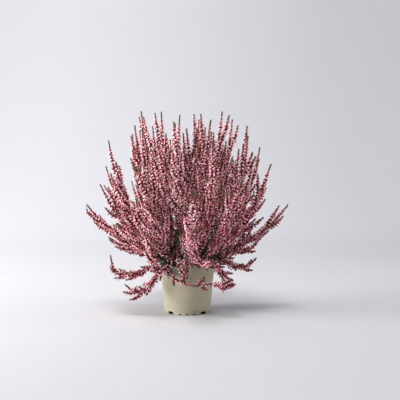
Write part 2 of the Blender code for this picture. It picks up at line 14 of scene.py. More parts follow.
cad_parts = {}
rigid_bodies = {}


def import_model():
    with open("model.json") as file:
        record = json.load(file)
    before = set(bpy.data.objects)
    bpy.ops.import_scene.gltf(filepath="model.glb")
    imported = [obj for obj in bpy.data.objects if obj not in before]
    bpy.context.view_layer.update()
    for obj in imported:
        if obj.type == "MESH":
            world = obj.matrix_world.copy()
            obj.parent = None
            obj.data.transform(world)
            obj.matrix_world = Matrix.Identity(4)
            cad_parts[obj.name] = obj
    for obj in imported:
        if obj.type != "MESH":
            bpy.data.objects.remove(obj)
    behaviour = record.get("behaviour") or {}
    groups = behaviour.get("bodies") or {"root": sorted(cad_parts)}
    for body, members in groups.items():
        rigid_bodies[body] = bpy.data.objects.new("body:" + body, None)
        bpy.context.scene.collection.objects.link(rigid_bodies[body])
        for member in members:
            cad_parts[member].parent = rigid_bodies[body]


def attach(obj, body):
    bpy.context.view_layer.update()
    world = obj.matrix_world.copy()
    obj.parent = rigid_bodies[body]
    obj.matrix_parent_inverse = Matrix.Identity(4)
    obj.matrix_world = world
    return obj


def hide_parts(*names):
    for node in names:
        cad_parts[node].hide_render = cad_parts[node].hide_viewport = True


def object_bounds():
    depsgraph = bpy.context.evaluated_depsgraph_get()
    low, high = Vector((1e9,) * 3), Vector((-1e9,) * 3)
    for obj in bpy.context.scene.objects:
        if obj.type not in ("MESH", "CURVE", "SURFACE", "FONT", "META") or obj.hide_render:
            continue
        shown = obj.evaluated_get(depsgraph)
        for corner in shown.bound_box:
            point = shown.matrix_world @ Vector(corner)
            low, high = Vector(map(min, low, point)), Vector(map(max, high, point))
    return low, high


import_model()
cad_low, cad_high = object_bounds()

# Backdrop, light and camera
# A seamless pale paper sweep curves up all round, painted darker on the right and towards the camera as
# painted shade, with a painted shadow under the pot.
# The main soft lamp stands on the left and a second hangs above. Weak ones light the pot from low down, the
# plant's right side and the paper. The camera is level, a metre in front of the pot.
MM = 0.001


def in_mm(*values):
    return tuple(value * MM for value in values)


SWEEP_FLOOR = 1.3
SWEEP_CURVE = 1.7
SWEEP_CURVE_STEPS = 12
SWEEP_TOP = 3.2
SWEEP_STEPS = 96
# Painted shade: the paper is coloured darker to the right and towards the camera, as if light fell off away
# from the main lamp and the room behind the camera were dark.
PAPER_LEFT = (0.78, 0.783, 0.818)
PAPER_RIGHT_PAINTED_SHADE = (0.62, 0.62, 0.655)
LEFT_TO_RIGHT = (-0.9, 0.9)
PAPER_FRONT_PAINTED_SHADE = (0.28, 0.28, 0.29)
BACK_TO_FRONT = (1.6, -3.0)
# Painted shadow: the paper under the pot is near black, so the foot's openings look dark.
PAPER_PAINTED_SHADOW = (0.03, 0.028, 0.026)
PAINTED_SHADOW_EDGE = in_mm(38, 39.5)
ROOM = (0.95, 0.96, 1.0)
ROOM_BRIGHTNESS = 0.235
WARM = (1.0, 0.985, 0.955)
WARMISH = (1.0, 0.99, 0.975)
COOL = (0.96, 0.98, 1.0)
WHITE = (1.0, 1.0, 1.0)
CAMERA_PLACE = (0.023, -1.0, 0.204)
CAMERA_LENS = 48.9


def meshed(name, points, faces, smooth=False):
    mesh = bpy.data.meshes.new(name)
    mesh.from_pydata(points, [], faces)
    if smooth:
        mesh.polygons.foreach_set("use_smooth", [True] * len(mesh.polygons))
    return mesh


def turned_round(name, profile, steps):
    """A mesh turned from (radius, height) points. A point on the axis becomes one vertex."""
    rings, points, faces = [], [], []
    for radius, height in profile:
        start = len(points)
        if radius < 1e-9:
            points.append((0, 0, height))
            rings.append([start] * steps)
            continue
        for i in range(steps):
            turn = i * math.tau / steps
            points.append((radius * math.cos(turn), radius * math.sin(turn), height))
        rings.append([start + i for i in range(steps)])
    for low, high in zip(rings, rings[1:]):
        for i in range(steps):
            j = (i + 1) % steps
            corners = [low[i], low[j], high[j], high[i]]
            face = [c for k, c in enumerate(corners) if c not in corners[:k]]
            if len(face) > 2:
                faces.append(face)
    return meshed(name, points, faces, True)


def placed(name, mesh):
    obj = bpy.data.objects.new(name, mesh)
    bpy.context.scene.collection.objects.link(obj)
    return obj


def new_finish(name, colour, roughness, specular=0.5):
    """A material with its node tree and shader."""
    made = bpy.data.materials.new(name)
    made.use_nodes = True
    shader = made.node_tree.nodes["Principled BSDF"]
    shader.inputs["Base Color"].default_value = (*colour, 1)
    shader.inputs["Roughness"].default_value = roughness
    shader.inputs["Specular IOR Level"].default_value = specular
    return made, made.node_tree, shader


def node(tree, kind, inputs, **settings):
    """A new node. Each input is a value, or another node's output that is wired to it."""
    made = tree.nodes.new("ShaderNode" + kind)
    for name, value in settings.items():
        setattr(made, name, value)
    for name, value in inputs.items():
        if isinstance(value, bpy.types.NodeSocket):
            tree.links.new(value, made.inputs[name])
        else:
            made.inputs[name].default_value = value
    return made


def on_piece(tree):
    return node(tree, "TexCoord", {}).outputs["Object"]


def mapped(tree, value, ends, to=(0, 1)):
    """Goes from the first of `to` to the second as the value goes from one end to the other."""
    inputs = {"Value": value, "From Min": ends[0], "From Max": ends[1], "To Min": to[0], "To Max": to[1]}
    return node(tree, "MapRange", inputs).outputs["Result"]


def blended(tree, by, one, other, how="MIX"):
    """One colour where the control is 0 and the other where it is 1."""
    one, other = [(*colour, 1) if isinstance(colour, tuple) else colour for colour in (one, other)]
    inputs = {"Factor": by, "A": one, "B": other}
    return node(tree, "Mix", inputs, data_type="RGBA", blend_type=how).outputs["Result"]


def soft_lamp(name, place, aim, size, power, colour):
    lamp = bpy.data.lights.new(name, "AREA")
    lamp.shape = "ELLIPSE"
    lamp.size, lamp.size_y = size
    lamp.energy = power
    lamp.color = colour
    obj = placed(name, lamp)
    obj.location = place
    obj.rotation_euler = (Vector(aim) - Vector(place)).to_track_quat("-Z", "Y").to_euler()
    obj.visible_camera = False


sweep_profile = [(0, 0), (0.6, 0), (SWEEP_FLOOR, 0)]
for i in range(1, SWEEP_CURVE_STEPS + 1):
    turn = i / SWEEP_CURVE_STEPS * math.pi / 2
    across = SWEEP_FLOOR + SWEEP_CURVE * math.sin(turn)
    sweep_profile.append((across, SWEEP_CURVE * (1 - math.cos(turn))))
sweep_profile.append((SWEEP_FLOOR + SWEEP_CURVE, SWEEP_TOP))
sweep = placed("paper_sweep", turned_round("paper_sweep", sweep_profile[::-1], SWEEP_STEPS))
paper, tree, shader = new_finish("sweep_paper", PAPER_LEFT, 0.85, 0.1)
place = node(tree, "SeparateXYZ", {"Vector": on_piece(tree)}).outputs
from_pot = node(tree, "VectorMath", {0: on_piece(tree)}, operation="LENGTH").outputs["Value"]
# Painted shade: darker to the right, then darker towards the camera.
shade = blended(tree, mapped(tree, place["X"], LEFT_TO_RIGHT), PAPER_LEFT, PAPER_RIGHT_PAINTED_SHADE)
shade = blended(tree, mapped(tree, place["Y"], BACK_TO_FRONT), shade, PAPER_FRONT_PAINTED_SHADE)
# Painted shadow on the paper under the pot.
shade = blended(tree, mapped(tree, from_pot, PAINTED_SHADOW_EDGE), PAPER_PAINTED_SHADOW, shade)
tree.links.new(shade, shader.inputs["Base Color"])
sweep.data.materials.append(paper)

room = bpy.data.worlds.new("room")
room.use_nodes = True
room.node_tree.nodes["Background"].inputs["Color"].default_value = (*ROOM, 1)
room.node_tree.nodes["Background"].inputs["Strength"].default_value = ROOM_BRIGHTNESS
bpy.context.scene.world = room
bpy.context.scene.view_settings.view_transform = "Standard"
soft_lamp("lamp_left", (-1.9, -0.34, 0.55), (0, 0, 0.14), (1.1, 0.45), 46, WARM)
soft_lamp("lamp_above", (-0.25, -0.8, 2.2), (0, 0, 0.2), (0.9, 0.9), 36, WARMISH)
soft_lamp("lamp_low", (-1.22, -0.7, 0.12), (0, 0, 0.07), (0.3, 0.16), 5.4, COOL)
soft_lamp("lamp_right", (1.8, 0.0, 0.7), (0, 0, 0.15), (0.9, 0.9), 11, COOL)
soft_lamp("lamp_wall", (-0.4, 1.0, 2.3), (-0.3, 3.0, 0.9), (1.4, 1.4), 15, WHITE)
soft_lamp("lamp_side", (-1.1, -0.2, 2.4), (-3.0, -0.2, 0.7), (1.4, 1.4), 14, WHITE)

camera = placed("camera", bpy.data.cameras.new("camera"))
camera.location = CAMERA_PLACE
camera.rotation_euler = (math.radians(90), 0, 0)
camera.data.lens = CAMERA_LENS
camera.data.sensor_width = 36
bpy.context.scene.camera = camera

# Pot
# A thin-walled growing pot of taupe recycled plastic, moulded in one piece: a rim band that steps out from a
# tapering wall, and a foot ring with four drains and twelve small notches. Satin, with faint flow marks.
# Inside
# the foot ring it is painted near black: painted shade, with a little peat dust, so its openings look dark.
RIM_RADIUS = 52.5 * MM
POT_HEIGHT = 87 * MM
BAND_HEIGHT = 14 * MM
BAND_FLARE = 1.9 * MM
BAND_STEP = 1.7 * MM
BASE_RADIUS = 42.6 * MM
FOOT_HEIGHT = 7 * MM
FOOT_INSET = 0.8 * MM
FOOT_WIDTH = 2.0 * MM
RECESS = 2.5 * MM
WALL = 1.2 * MM
RIM_STEPS = 6
WALL_STEPS = 6
POT_STEPS = 144
DRAINS = 4
DRAIN_SIZE = in_mm(12.5, 5)
FIRST_DRAIN = math.radians(-45)
NOTCHES_BETWEEN_DRAINS = 3
NOTCH_SPACING = math.radians(18)
NOTCH_SIZE = in_mm(5, 2.4)
TAUPE = (0.46, 0.42, 0.30)
TAUPE_DARK = (0.405, 0.37, 0.262)
SPECK = (0.86, 0.86, 0.85)
# Painted shade with a little peat dust: near black inside the foot ring, so the drains and notches look dark.
FOOT_DUST_AND_PAINTED_SHADE = (0.02, 0.017, 0.012)
FOOT_SHADE_FROM, FOOT_SHADE_TO = in_mm(30, 36), in_mm(40.3, 40.9)
FOOT_SHADE_BELOW = in_mm(5.6, 5.2)


def near(across, height, offsets):
    """Points of a section, each by its offset in mm from one place on it."""
    return [(across + out * MM, height + up * MM) for out, up in offsets]


def pot_outline():
    """The pot's wall in section, from the inside of its floor over the rim and down to the underside."""
    band_bottom = POT_HEIGHT - BAND_HEIGHT
    band = RIM_RADIUS - BAND_FLARE
    wall_top = band - BAND_STEP
    foot = BASE_RADIUS - FOOT_INSET
    heel = foot - 0.6 * MM
    floor = RECESS + WALL
    outline = [(0, floor), (foot * 0.5, floor)]
    outline += near(foot - WALL, floor, [(-0.6, 0), (0, 0.5)])
    outline += [(BASE_RADIUS - WALL, FOOT_HEIGHT + WALL), (wall_top - WALL, band_bottom)]
    outline += near(band - WALL, band_bottom + WALL, [(-0.3, -0.3), (0, 0.3)])
    outline += near(RIM_RADIUS - WALL, POT_HEIGHT, [(-0.2, -1.5)])
    for i in range(RIM_STEPS + 1):
        turn = math.pi * (1 - i / RIM_STEPS)
        across = RIM_RADIUS - WALL / 2 + math.cos(turn) * WALL / 2
        outline.append((across, POT_HEIGHT - WALL / 2 + math.sin(turn) * WALL / 2))
    outline += near(RIM_RADIUS, POT_HEIGHT, [(-0.25, -3)])
    outline.append((band + 0.9 * MM, band_bottom + BAND_HEIGHT * 0.45))
    outline += near(band, band_bottom, [(0.05, 0.5), (-0.15, 0.1), (-0.5, -0.05)])
    outline += near(wall_top, band_bottom, [(-0.1, -0.1), (-0.5, -0.5), (-0.45, -0.9), (-0.1, -1.4)])
    top, bottom = (wall_top - 0.1 * MM, band_bottom - 1.4 * MM), (BASE_RADIUS, FOOT_HEIGHT + 0.5 * MM)
    for share in np.linspace(0, 1, WALL_STEPS + 1)[1:-1]:
        outline.append(tuple(float(a * (1 - share) + b * share) for a, b in zip(top, bottom)))
    outline += near(BASE_RADIUS, FOOT_HEIGHT, [(0, 0.9), (-0.1, 0.4), (-0.4, 0.1)])
    outline += near(foot, FOOT_HEIGHT, [(-0.5, 0), (-0.5, -0.6), (0.1, -1.0)])
    outline += near(heel, 0, [(0.05, 0.5), (-0.1, 0.12), (-0.45, 0)])
    outline += near(heel - FOOT_WIDTH, 0, [(0.4, 0), (0, 0.4)])
    return outline + [(heel - FOOT_WIDTH, RECESS), (foot * 0.5, RECESS), (0, RECESS)]


def foot_opening(azimuth, size):
    """A block in the shape of one opening through the foot ring, open downwards."""
    width, height = size
    inner = BASE_RADIUS - FOOT_INSET - FOOT_WIDTH - 2.2 * MM
    outer = BASE_RADIUS + 3 * MM
    below = 1 * MM
    bm = bmesh.new()
    bmesh.ops.create_cube(bm, size=1)
    bmesh.ops.scale(bm, vec=(outer - inner, width, height + below), verts=bm.verts)
    top = [e for e in bm.edges if all(v.co.z > 0 and abs(v.co.y) > width * 0.4 for v in e.verts)]
    corners = [e for e in top if abs(e.verts[0].co.y - e.verts[1].co.y) < 1e-9]
    bmesh.ops.bevel(bm, geom=corners, offset=0.5 * MM, segments=3, affect="EDGES", profile=0.5)
    mesh = bpy.data.meshes.new("opening")
    bm.to_mesh(mesh)
    bm.free()
    block = placed("opening", mesh)
    middle = (outer + inner) / 2
    block.location = (middle * math.cos(azimuth), middle * math.sin(azimuth), (height - below) / 2)
    block.rotation_euler.z = azimuth
    return block


pot_shell = placed("pot_shell", turned_round("pot_shell", pot_outline()[::-1], POT_STEPS))
openings = bpy.data.collections.new("openings")
for i in range(DRAINS):
    azimuth = FIRST_DRAIN + i * math.tau / DRAINS
    blocks = [foot_opening(azimuth, DRAIN_SIZE)]
    for k in range(NOTCHES_BETWEEN_DRAINS):
        turn = azimuth + math.pi / DRAINS + (k - (NOTCHES_BETWEEN_DRAINS - 1) / 2) * NOTCH_SPACING
        blocks.append(foot_opening(turn, NOTCH_SIZE))
    for block in blocks:
        openings.objects.link(block)
cut = pot_shell.modifiers.new("Foot openings", "BOOLEAN")
cut.operation = "DIFFERENCE"
cut.operand_type = "COLLECTION"
cut.collection = openings
cut.solver = "EXACT"
graph = bpy.context.evaluated_depsgraph_get()
pot_shell.data = bpy.data.meshes.new_from_object(pot_shell.evaluated_get(graph))
pot_shell.modifiers.clear()
for block in list(openings.objects):
    bpy.data.objects.remove(block)
bpy.data.collections.remove(openings)
pot_shell.data.polygons.foreach_set("use_smooth", [True] * len(pot_shell.data.polygons))
pot_shell.data.set_sharp_from_angle(angle=math.radians(38))


def mottled(tree, scale, detail=2, roughness=0.5):
    """Noise from 0 to 1 that is fixed to the piece."""
    inputs = {"Vector": on_piece(tree), "Scale": scale, "Detail": detail, "Roughness": roughness}
    return node(tree, "TexNoise", inputs).outputs["Fac"]


def ramped(tree, control, places, colours):
    """Colours at places from 0 to 1 on a control: an output, or the name of one of the mesh's readings."""
    if isinstance(control, str):
        control = node(tree, "Attribute", {}, attribute_name=control).outputs["Fac"]
    ramp = node(tree, "ValToRGB", {"Fac": control})
    elements = ramp.color_ramp.elements
    stops = list(zip(places, colours))
    for element, (position, colour) in ((elements[0], stops[0]), (elements[1], stops[-1])):
        element.position = position
        element.color = (*colour, 1)
    for position, colour in stops[1:-1]:
        elements.new(position).color = (*colour, 1)
    return ramp.outputs["Color"]


def roughened(tree, shader, height, strength, distance):
    """Relief in the surface, from noise."""
    bump = node(tree, "Bump", {"Height": height, "Strength": strength, "Distance": distance})
    tree.links.new(bump.outputs["Normal"], shader.inputs["Normal"])


def multiplied(tree, one, other):
    return node(tree, "Math", {0: one, 1: other}, operation="MULTIPLY").outputs["Value"]


taupe_plastic, tree, shader = new_finish("taupe_plastic", TAUPE, 0.46, 0.45)
flow, specks = mottled(tree, 22, 5, 0.55), mottled(tree, 1300)
shade = ramped(tree, flow, (0.34, 0.66), (TAUPE_DARK, TAUPE))
specked = ramped(tree, specks, (0.3, 0.62), (SPECK, WHITE))
shade = blended(tree, 1.0, shade, specked, "MULTIPLY")
flat = node(tree, "VectorMath", {0: on_piece(tree), 1: (1, 1, 0)}, operation="MULTIPLY").outputs["Vector"]
from_axis = node(tree, "VectorMath", {0: flat}, operation="LENGTH").outputs["Value"]
height = node(tree, "SeparateXYZ", {"Vector": on_piece(tree)}).outputs["Z"]
# Painted shade, with a little peat dust, inside the foot ring near the table.
foot_shade = multiplied(tree, mapped(tree, from_axis, FOOT_SHADE_FROM), mapped(tree, from_axis, FOOT_SHADE_TO, (1, 0)))
foot_shade = multiplied(tree, foot_shade, mapped(tree, height, FOOT_SHADE_BELOW))
tree.links.new(blended(tree, foot_shade, shade, FOOT_DUST_AND_PAINTED_SHADE), shader.inputs["Base Color"])
tree.links.new(mapped(tree, flow, (0, 1), (0.38, 0.56)), shader.inputs["Roughness"])
roughened(tree, shader, specks, 0.12, 0.05 * MM)
pot_shell.data.materials.clear()
pot_shell.data.materials.append(taupe_plastic)
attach(pot_shell, "root")
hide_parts("pot")

# Peat
# Dark potting peat that fills the pot to a finger's breadth under the rim: a crumbly surface with loose
# crumbs, bits of brown fibre and a few white grains of perlite, pressed in round the cuttings by hand.
GAP = 0.3 * MM
SOIL_TOP = 75 * MM
SOIL_MOUND = 1.5 * MM
SOIL_SHOULDER = 1.2 * MM
SOIL_EDGE = 72.3 * MM
SOIL_STEPS = 120
# Each kind of loose bit: how many, its smallest and largest size, and how flat it is
LOOSE_BITS = (
    ("peat_crumbs", 900, in_mm(0.5, 1.5), 0.7),
    ("peat_perlite", 46, in_mm(0.5, 1.1), 0.8),
)
FIBRES = 160
EARTH_BROWNS = ((0.012, 0.008, 0.006), (0.095, 0.058, 0.034))
PERLITE_WHITES = ((0.30, 0.26, 0.20), (0.66, 0.64, 0.60))
FIBRE_TANS = ((0.06, 0.03, 0.016), (0.24, 0.14, 0.07))


def wall_inside(height):
    """The pot's inner radius at a height, less the small gap that the peat keeps."""
    band_bottom = POT_HEIGHT - BAND_HEIGHT
    outer = np.interp(height, (FOOT_HEIGHT, band_bottom), (BASE_RADIUS, RIM_RADIUS - BAND_FLARE - BAND_STEP))
    return outer - WALL - GAP - 0.1 * MM


def lump(draw, place, size, squash):
    """One crumb: a small rough eight-sided lump."""
    points = np.array([(1, 0, 0), (0, 1, 0), (-1, 0, 0), (0, -1, 0), (0, 0, 1), (0, 0, -1)], float)
    points *= draw.uniform(0.65, 1.25, (6, 1)) * size * np.array([1, draw.uniform(0.6, 1), squash])
    turn = draw.uniform(0, math.tau)
    spin = np.array([[math.cos(turn), -math.sin(turn), 0], [math.sin(turn), math.cos(turn), 0], [0, 0, 1]])
    faces = [(0, 1, 4), (1, 2, 4), (2, 3, 4), (3, 0, 4), (1, 0, 5), (2, 1, 5), (3, 2, 5), (0, 3, 5)]
    return points @ spin.T + place, faces


def earthy(name, colour, roughness, noise_scale, detail, places, shades, specular=0.5):
    """A mottled finish, and the noise it is mottled by."""
    finish, tree, shader = new_finish(name, colour, roughness, specular)
    patches = mottled(tree, noise_scale, detail)
    tree.links.new(ramped(tree, patches, places, shades), shader.inputs["Base Color"])
    return finish, tree, shader, patches


floor = RECESS + WALL + GAP
peat_profile = [(0, floor), (BASE_RADIUS - FOOT_INSET - WALL - 0.8 * MM, floor)]
for height in (FOOT_HEIGHT + WALL + GAP, 30 * MM, 55 * MM, 70 * MM, SOIL_EDGE):
    peat_profile.append((float(wall_inside(height)), height))
top_radius = peat_profile[-1][0]
for share in (0.985, 0.965, *np.linspace(0.94, 0.03, 34)):
    mound = SOIL_TOP - SOIL_SHOULDER + (SOIL_MOUND + SOIL_SHOULDER) * (1 - share**2) ** 0.7
    peat_profile.append((top_radius * share, mound))
peat_profile.append((0, SOIL_TOP + SOIL_MOUND))
peat_mesh = turned_round("peat_fill", peat_profile, SOIL_STEPS)
for v in peat_mesh.vertices:
    if v.co.z > SOIL_EDGE + 0.1 * MM:
        edge = min(1, max(0, (top_radius - math.hypot(v.co.x, v.co.y)) / (2 * MM)))
        rough = noise.noise(v.co * 170) * 1.2 + noise.noise(v.co * 480) * 0.7 + noise.noise(v.co * 1100) * 0.3
        v.co.z += rough * edge * MM
peat_fill = placed("peat_fill", peat_mesh)
draw = np.random.default_rng(5)
for name, count, sizes, squash in LOOSE_BITS:
    points, faces = [], []
    for i in range(count):
        distance = top_radius * 0.97 * math.sqrt(draw.uniform())
        azimuth = draw.uniform(0, math.tau)
        size = draw.uniform(*sizes)
        height = SOIL_TOP + SOIL_MOUND * (1 - (distance / top_radius) ** 2) + size * 0.15
        place = (distance * math.cos(azimuth), distance * math.sin(azimuth), height)
        corners, sides = lump(draw, place, size, squash)
        faces += [[c + len(points) for c in side] for side in sides]
        points += corners.tolist()
    placed(name, meshed(name, points, faces))
points, faces = [], []
for i in range(FIBRES):
    distance = top_radius * 0.93 * math.sqrt(draw.uniform())
    azimuth, turn = draw.uniform(0, math.tau, 2)
    middle = np.array([distance * math.cos(azimuth), distance * math.sin(azimuth), SOIL_TOP + 1.3 * MM])
    half = draw.uniform(1.5, 4.5) * MM * np.array([math.cos(turn), math.sin(turn), draw.uniform(-0.15, 0.15)])
    thick = draw.uniform(0.12, 0.28) * MM
    sideways = np.array([-math.sin(turn), math.cos(turn), 0])
    start = len(points)
    for end in (middle - half, middle + half):
        for k in range(3):
            spread = sideways * math.cos(k * math.tau / 3) + np.array([0, 0, math.sin(k * math.tau / 3)])
            points.append((end + spread * thick).tolist())
    for k in range(3):
        j = (k + 1) % 3
        faces.append([start + k, start + j, start + 3 + j, start + 3 + k])
    faces += [[start + 2, start + 1, start], [start + 3, start + 4, start + 5]]
placed("peat_fibres", meshed("peat_fibres", points, faces))

brown, pale, tan = (0.03, 0.02, 0.013), (0.62, 0.60, 0.55), (0.16, 0.085, 0.04)
peat, tree, shader, patches = earthy("peat_earth", brown, 0.95, 260, 6, (0.32, 0.72), EARTH_BROWNS, 0.15)
roughened(tree, shader, patches, 0.8, 0.4 * MM)
perlite, *_ = earthy("perlite_grain", pale, 0.9, 500, 2, (0.35, 0.6), PERLITE_WHITES)
fibre, *_ = earthy("peat_fibre", tan, 0.9, 400, 2, (0.35, 0.65), FIBRE_TANS)
finishes = (("peat_fill", peat), ("peat_crumbs", peat), ("peat_perlite", perlite), ("peat_fibres", fibre))
for name, finish in finishes:
    piece = bpy.data.objects[name]
    piece.data.materials.append(finish)
    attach(piece, "root")
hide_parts("potting_soil")

# Woody stems
# Five rooted cuttings stand in the peat. Each has a short trunk that forks at once into the
# bare, wiry lower stems of its shoots, with brown flaking bark and short twiglets of old scale leaves.
CUTTINGS = 5
CUTTING_RING = 23 * MM
FIRST_CUTTING = math.radians(40)
TRUNK_RADIUS = 2.6 * MM
TRUNK_DEPTH = 16 * MM
TRUNK_TOP = 84 * MM
TRUNK_RINGS = 14
TRUNK_GIRTH = ((0, 0.55, 0.68, 0.9, 1), (1.0, 1.0, 1.08, 0.98, 0.7))
STEM_RADIUS = in_mm(1.5, 1.1)
STEM_RINGS = 26
UPRIGHT = 16
LEANING = 20
LEAFY = 5
GOLDEN_ANGLE = math.radians(137.508)
UPRIGHT_SPREAD = 121 * MM
UPRIGHT_TIP = in_mm(320, 380)
LEANING_FROM_VERTICAL = (59, 34, 49, 28, 41)
LEANING_LENGTH = ((25, 35, 48, 59), in_mm(280, 266, 236, 216))
LEAFY_FROM_VERTICAL = (54, 30)
LEAFY_LENGTH = 70 * MM
# A shoot's angle from vertical in degrees: as seen from root to tip, and then at its root and at its tip
LEAN_SEEN = (0, 10, 22, 32, 48, 58, 70)
LEAN_AT_ROOT = (0, 12, 40, 55, 65, 64, 70)
LEAN_AT_TIP = (0, 6, 6, 10, 30, 38, 50)
ARCH = (0.35, 0.42)
SWAY = 14 * MM
# Listed shoots: those that lean out over the rim and turn up, and those that trail. Each point is an azimuth
# in degrees, a distance from the pot's axis and a height, both in mm.
OVER_RIM = (
    ((222, 30, 96), (222, 54, 98), (225, 76, 108), (228, 98, 132), (229, 116, 166), (229, 128, 206)),
    ((280, 30, 97), (278, 52, 101), (276, 72, 116), (275, 90, 144), (276, 102, 182), (279, 108, 214)),
)
TRAILING = (
    ((216, 30, 96), (213, 58, 98), (206, 80, 80), (198, 108, 70), (193, 132, 76), (191, 140, 104)),
    ((238, 32, 96), (232, 60, 95), (222, 74, 68), (212, 86, 44), (205, 102, 42), (201, 116, 54)),
    ((170, 34, 97), (171, 62, 102), (173, 92, 108), (174, 120, 117), (175, 147, 134)),
    ((254, 33, 97), (256, 58, 98), (261, 70, 88), (266, 76, 74), (268, 77, 62)),
    ((240, 34, 97), (236, 57, 96), (240, 63, 79), (260, 64, 62), (282, 67, 56), (302, 80, 59), (314, 98, 57)),
    ((300, 36, 97), (304, 60, 99), (310, 78, 88), (317, 88, 74), (323, 98, 66)),
    ((342, 34, 97), (344, 60, 98), (345, 84, 86), (347, 108, 84), (348, 126, 99)),
    ((58, 32, 97), (60, 60, 98), (62, 80, 82), (60, 98, 70), (56, 116, 74)),
    ((18, 34, 98), (18, 62, 104), (17, 94, 106), (15, 122, 112), (14, 143, 132)),
    ((88, 33, 97), (88, 58, 99), (89, 74, 84), (92, 88, 66), (96, 104, 64)),
)
FLOWERING_SHARE = {"upright": 0.79, "leaning": 0.82, "trailing": 0.64}
SPIKE_GIRTH = {"upright": 1.0, "leaning": 0.95, "trailing": 0.68}
# A spike's radius at shares of its length from its tip
SPIKE_SHARES = (0.0, 0.05, 0.12, 0.28, 0.5, 0.75, 0.94, 1.0)
SPIKE_RADII = in_mm(0.5, 2.0, 3.4, 5.2, 7.8, 8.4, 4.4, 2.2)
LEAFY_SHARE = 0.68
LEAFY_RADII = in_mm(0.6, 2.4, 3.2, 3.6, 3.7, 3.7, 3.2, 1.8)
BUD_PEAK = 1.14
SAMPLES = 40
CLEARANCE = 1.3 * MM
NEAR = 14 * MM
# How shoots are bent clear of each other: rounds, steps in each, the share of a shortfall taken up in a step,
# and the length above the cutting over which a shoot gains its freedom
ROUNDS = 10
STEPS = 12
PUSH = 0.5
ROOTED = 30 * MM
WALL_GUARD = 4 * MM
RIM_GUARD = 2.2 * MM
GROWTH_SEED = 11
TWIGLET_PITCH = 3.2 * MM
TWIGLET_LENGTH = in_mm(8, 19)
TWIGLET_ROOM = ((0, 0.3, 1), (0.6, 1, 1))
TWIGLET_RADIUS = 0.35 * MM
TWIGLET_LEAN = (32, 55)
OLD_LEAVES = (2.3 * MM, 1.25)
BASAL_TWIGS = 20
BASAL_RADIUS = 0.5 * MM
BASAL_LEAN = (25, 68)
LEAF_LENGTH = 2.7 * MM
LEAF_HALF_WIDTH = 0.6 * MM
LEAF_PITCH = 1.7 * MM
LEAF_LEAN = 28
STEM_LEAF_LEAN = 38
BARK_BROWNS = ((0.035, 0.02, 0.014), (0.13, 0.075, 0.05), (0.24, 0.16, 0.11))
BARK_REDS = ((0.06, 0.02, 0.014), (0.22, 0.085, 0.06))
LEAF_GREENS = ((0.008, 0.016, 0.006), (0.03, 0.052, 0.019), (0.082, 0.118, 0.042))
LEAF_BRONZES = ((0.05, 0.02, 0.01), (0.12, 0.07, 0.028), (0.25, 0.17, 0.08))
UP = np.array([0.0, 0.0, 1.0])


def polar(azimuth, distance, height):
    return np.array([distance * math.cos(azimuth), distance * math.sin(azimuth), height])


def unit(vectors):
    return vectors / np.maximum(np.linalg.norm(vectors, axis=-1, keepdims=True), 1e-12)


def along(points):
    """The distance along a line to each of its points."""
    steps = np.linalg.norm(np.diff(points, axis=0), axis=1)
    return np.concatenate([[0], np.cumsum(steps)])


def picked(at, wanted, values):
    """Values along a line, read at other distances along it."""
    return np.stack([np.interp(wanted, at, values[:, i]) for i in range(3)], axis=1)


def resampled(points, count):
    at = along(points)
    return picked(at, np.linspace(0, at[-1], count), points)


def bezier(a, b, c, d):
    t = np.linspace(0, 1, 80)[:, None]
    return a * (1 - t) ** 3 + 3 * b * t * (1 - t) ** 2 + 3 * c * t**2 * (1 - t) + d * t**3


def through(points):
    """A smooth line through the points."""
    ends = [2 * points[0] - points[1], *points, 2 * points[-1] - points[-2]]
    runs = []
    for a, b, c, d in zip(ends, ends[1:], ends[2:], ends[3:]):
        runs.append(bezier(b, b + (c - a) / 6, c - (d - b) / 6, c)[:-1])
    return np.concatenate([*runs, [points[-1]]])


def arching(root, tip, sway=0.0):
    """A shoot's line from root to tip, which leans out low down and turns up towards the tip."""
    chord = tip - root
    reach, rise = math.hypot(chord[0], chord[1]), chord[2]
    outwards = np.array([chord[0], chord[1], 0]) / max(reach, 1e-9)
    seen = math.degrees(math.atan2(reach, rise))
    ends = []
    for leans in (LEAN_AT_ROOT, LEAN_AT_TIP):
        lean = math.radians(np.interp(seen, LEAN_SEEN, leans))
        ends.append(outwards * math.sin(lean) + np.array([0, 0, math.cos(lean)]))
    length = np.linalg.norm(chord)
    sideways = np.array([-outwards[1], outwards[0], 0]) * sway
    return bezier(root, root + ends[0] * length * ARCH[0], tip - ends[1] * length * ARCH[1] + sideways, tip)


def cutting_places():
    places = [np.array([0, 0, TRUNK_TOP])]
    for i in range(CUTTINGS - 1):
        places.append(polar(FIRST_CUTTING + i * math.tau / (CUTTINGS - 1), CUTTING_RING, TRUNK_TOP))
    return places


def nearest_cutting(place, places):
    return 1 + int(np.argmin([np.linalg.norm((place - p)[:2]) for p in places[1:]]))


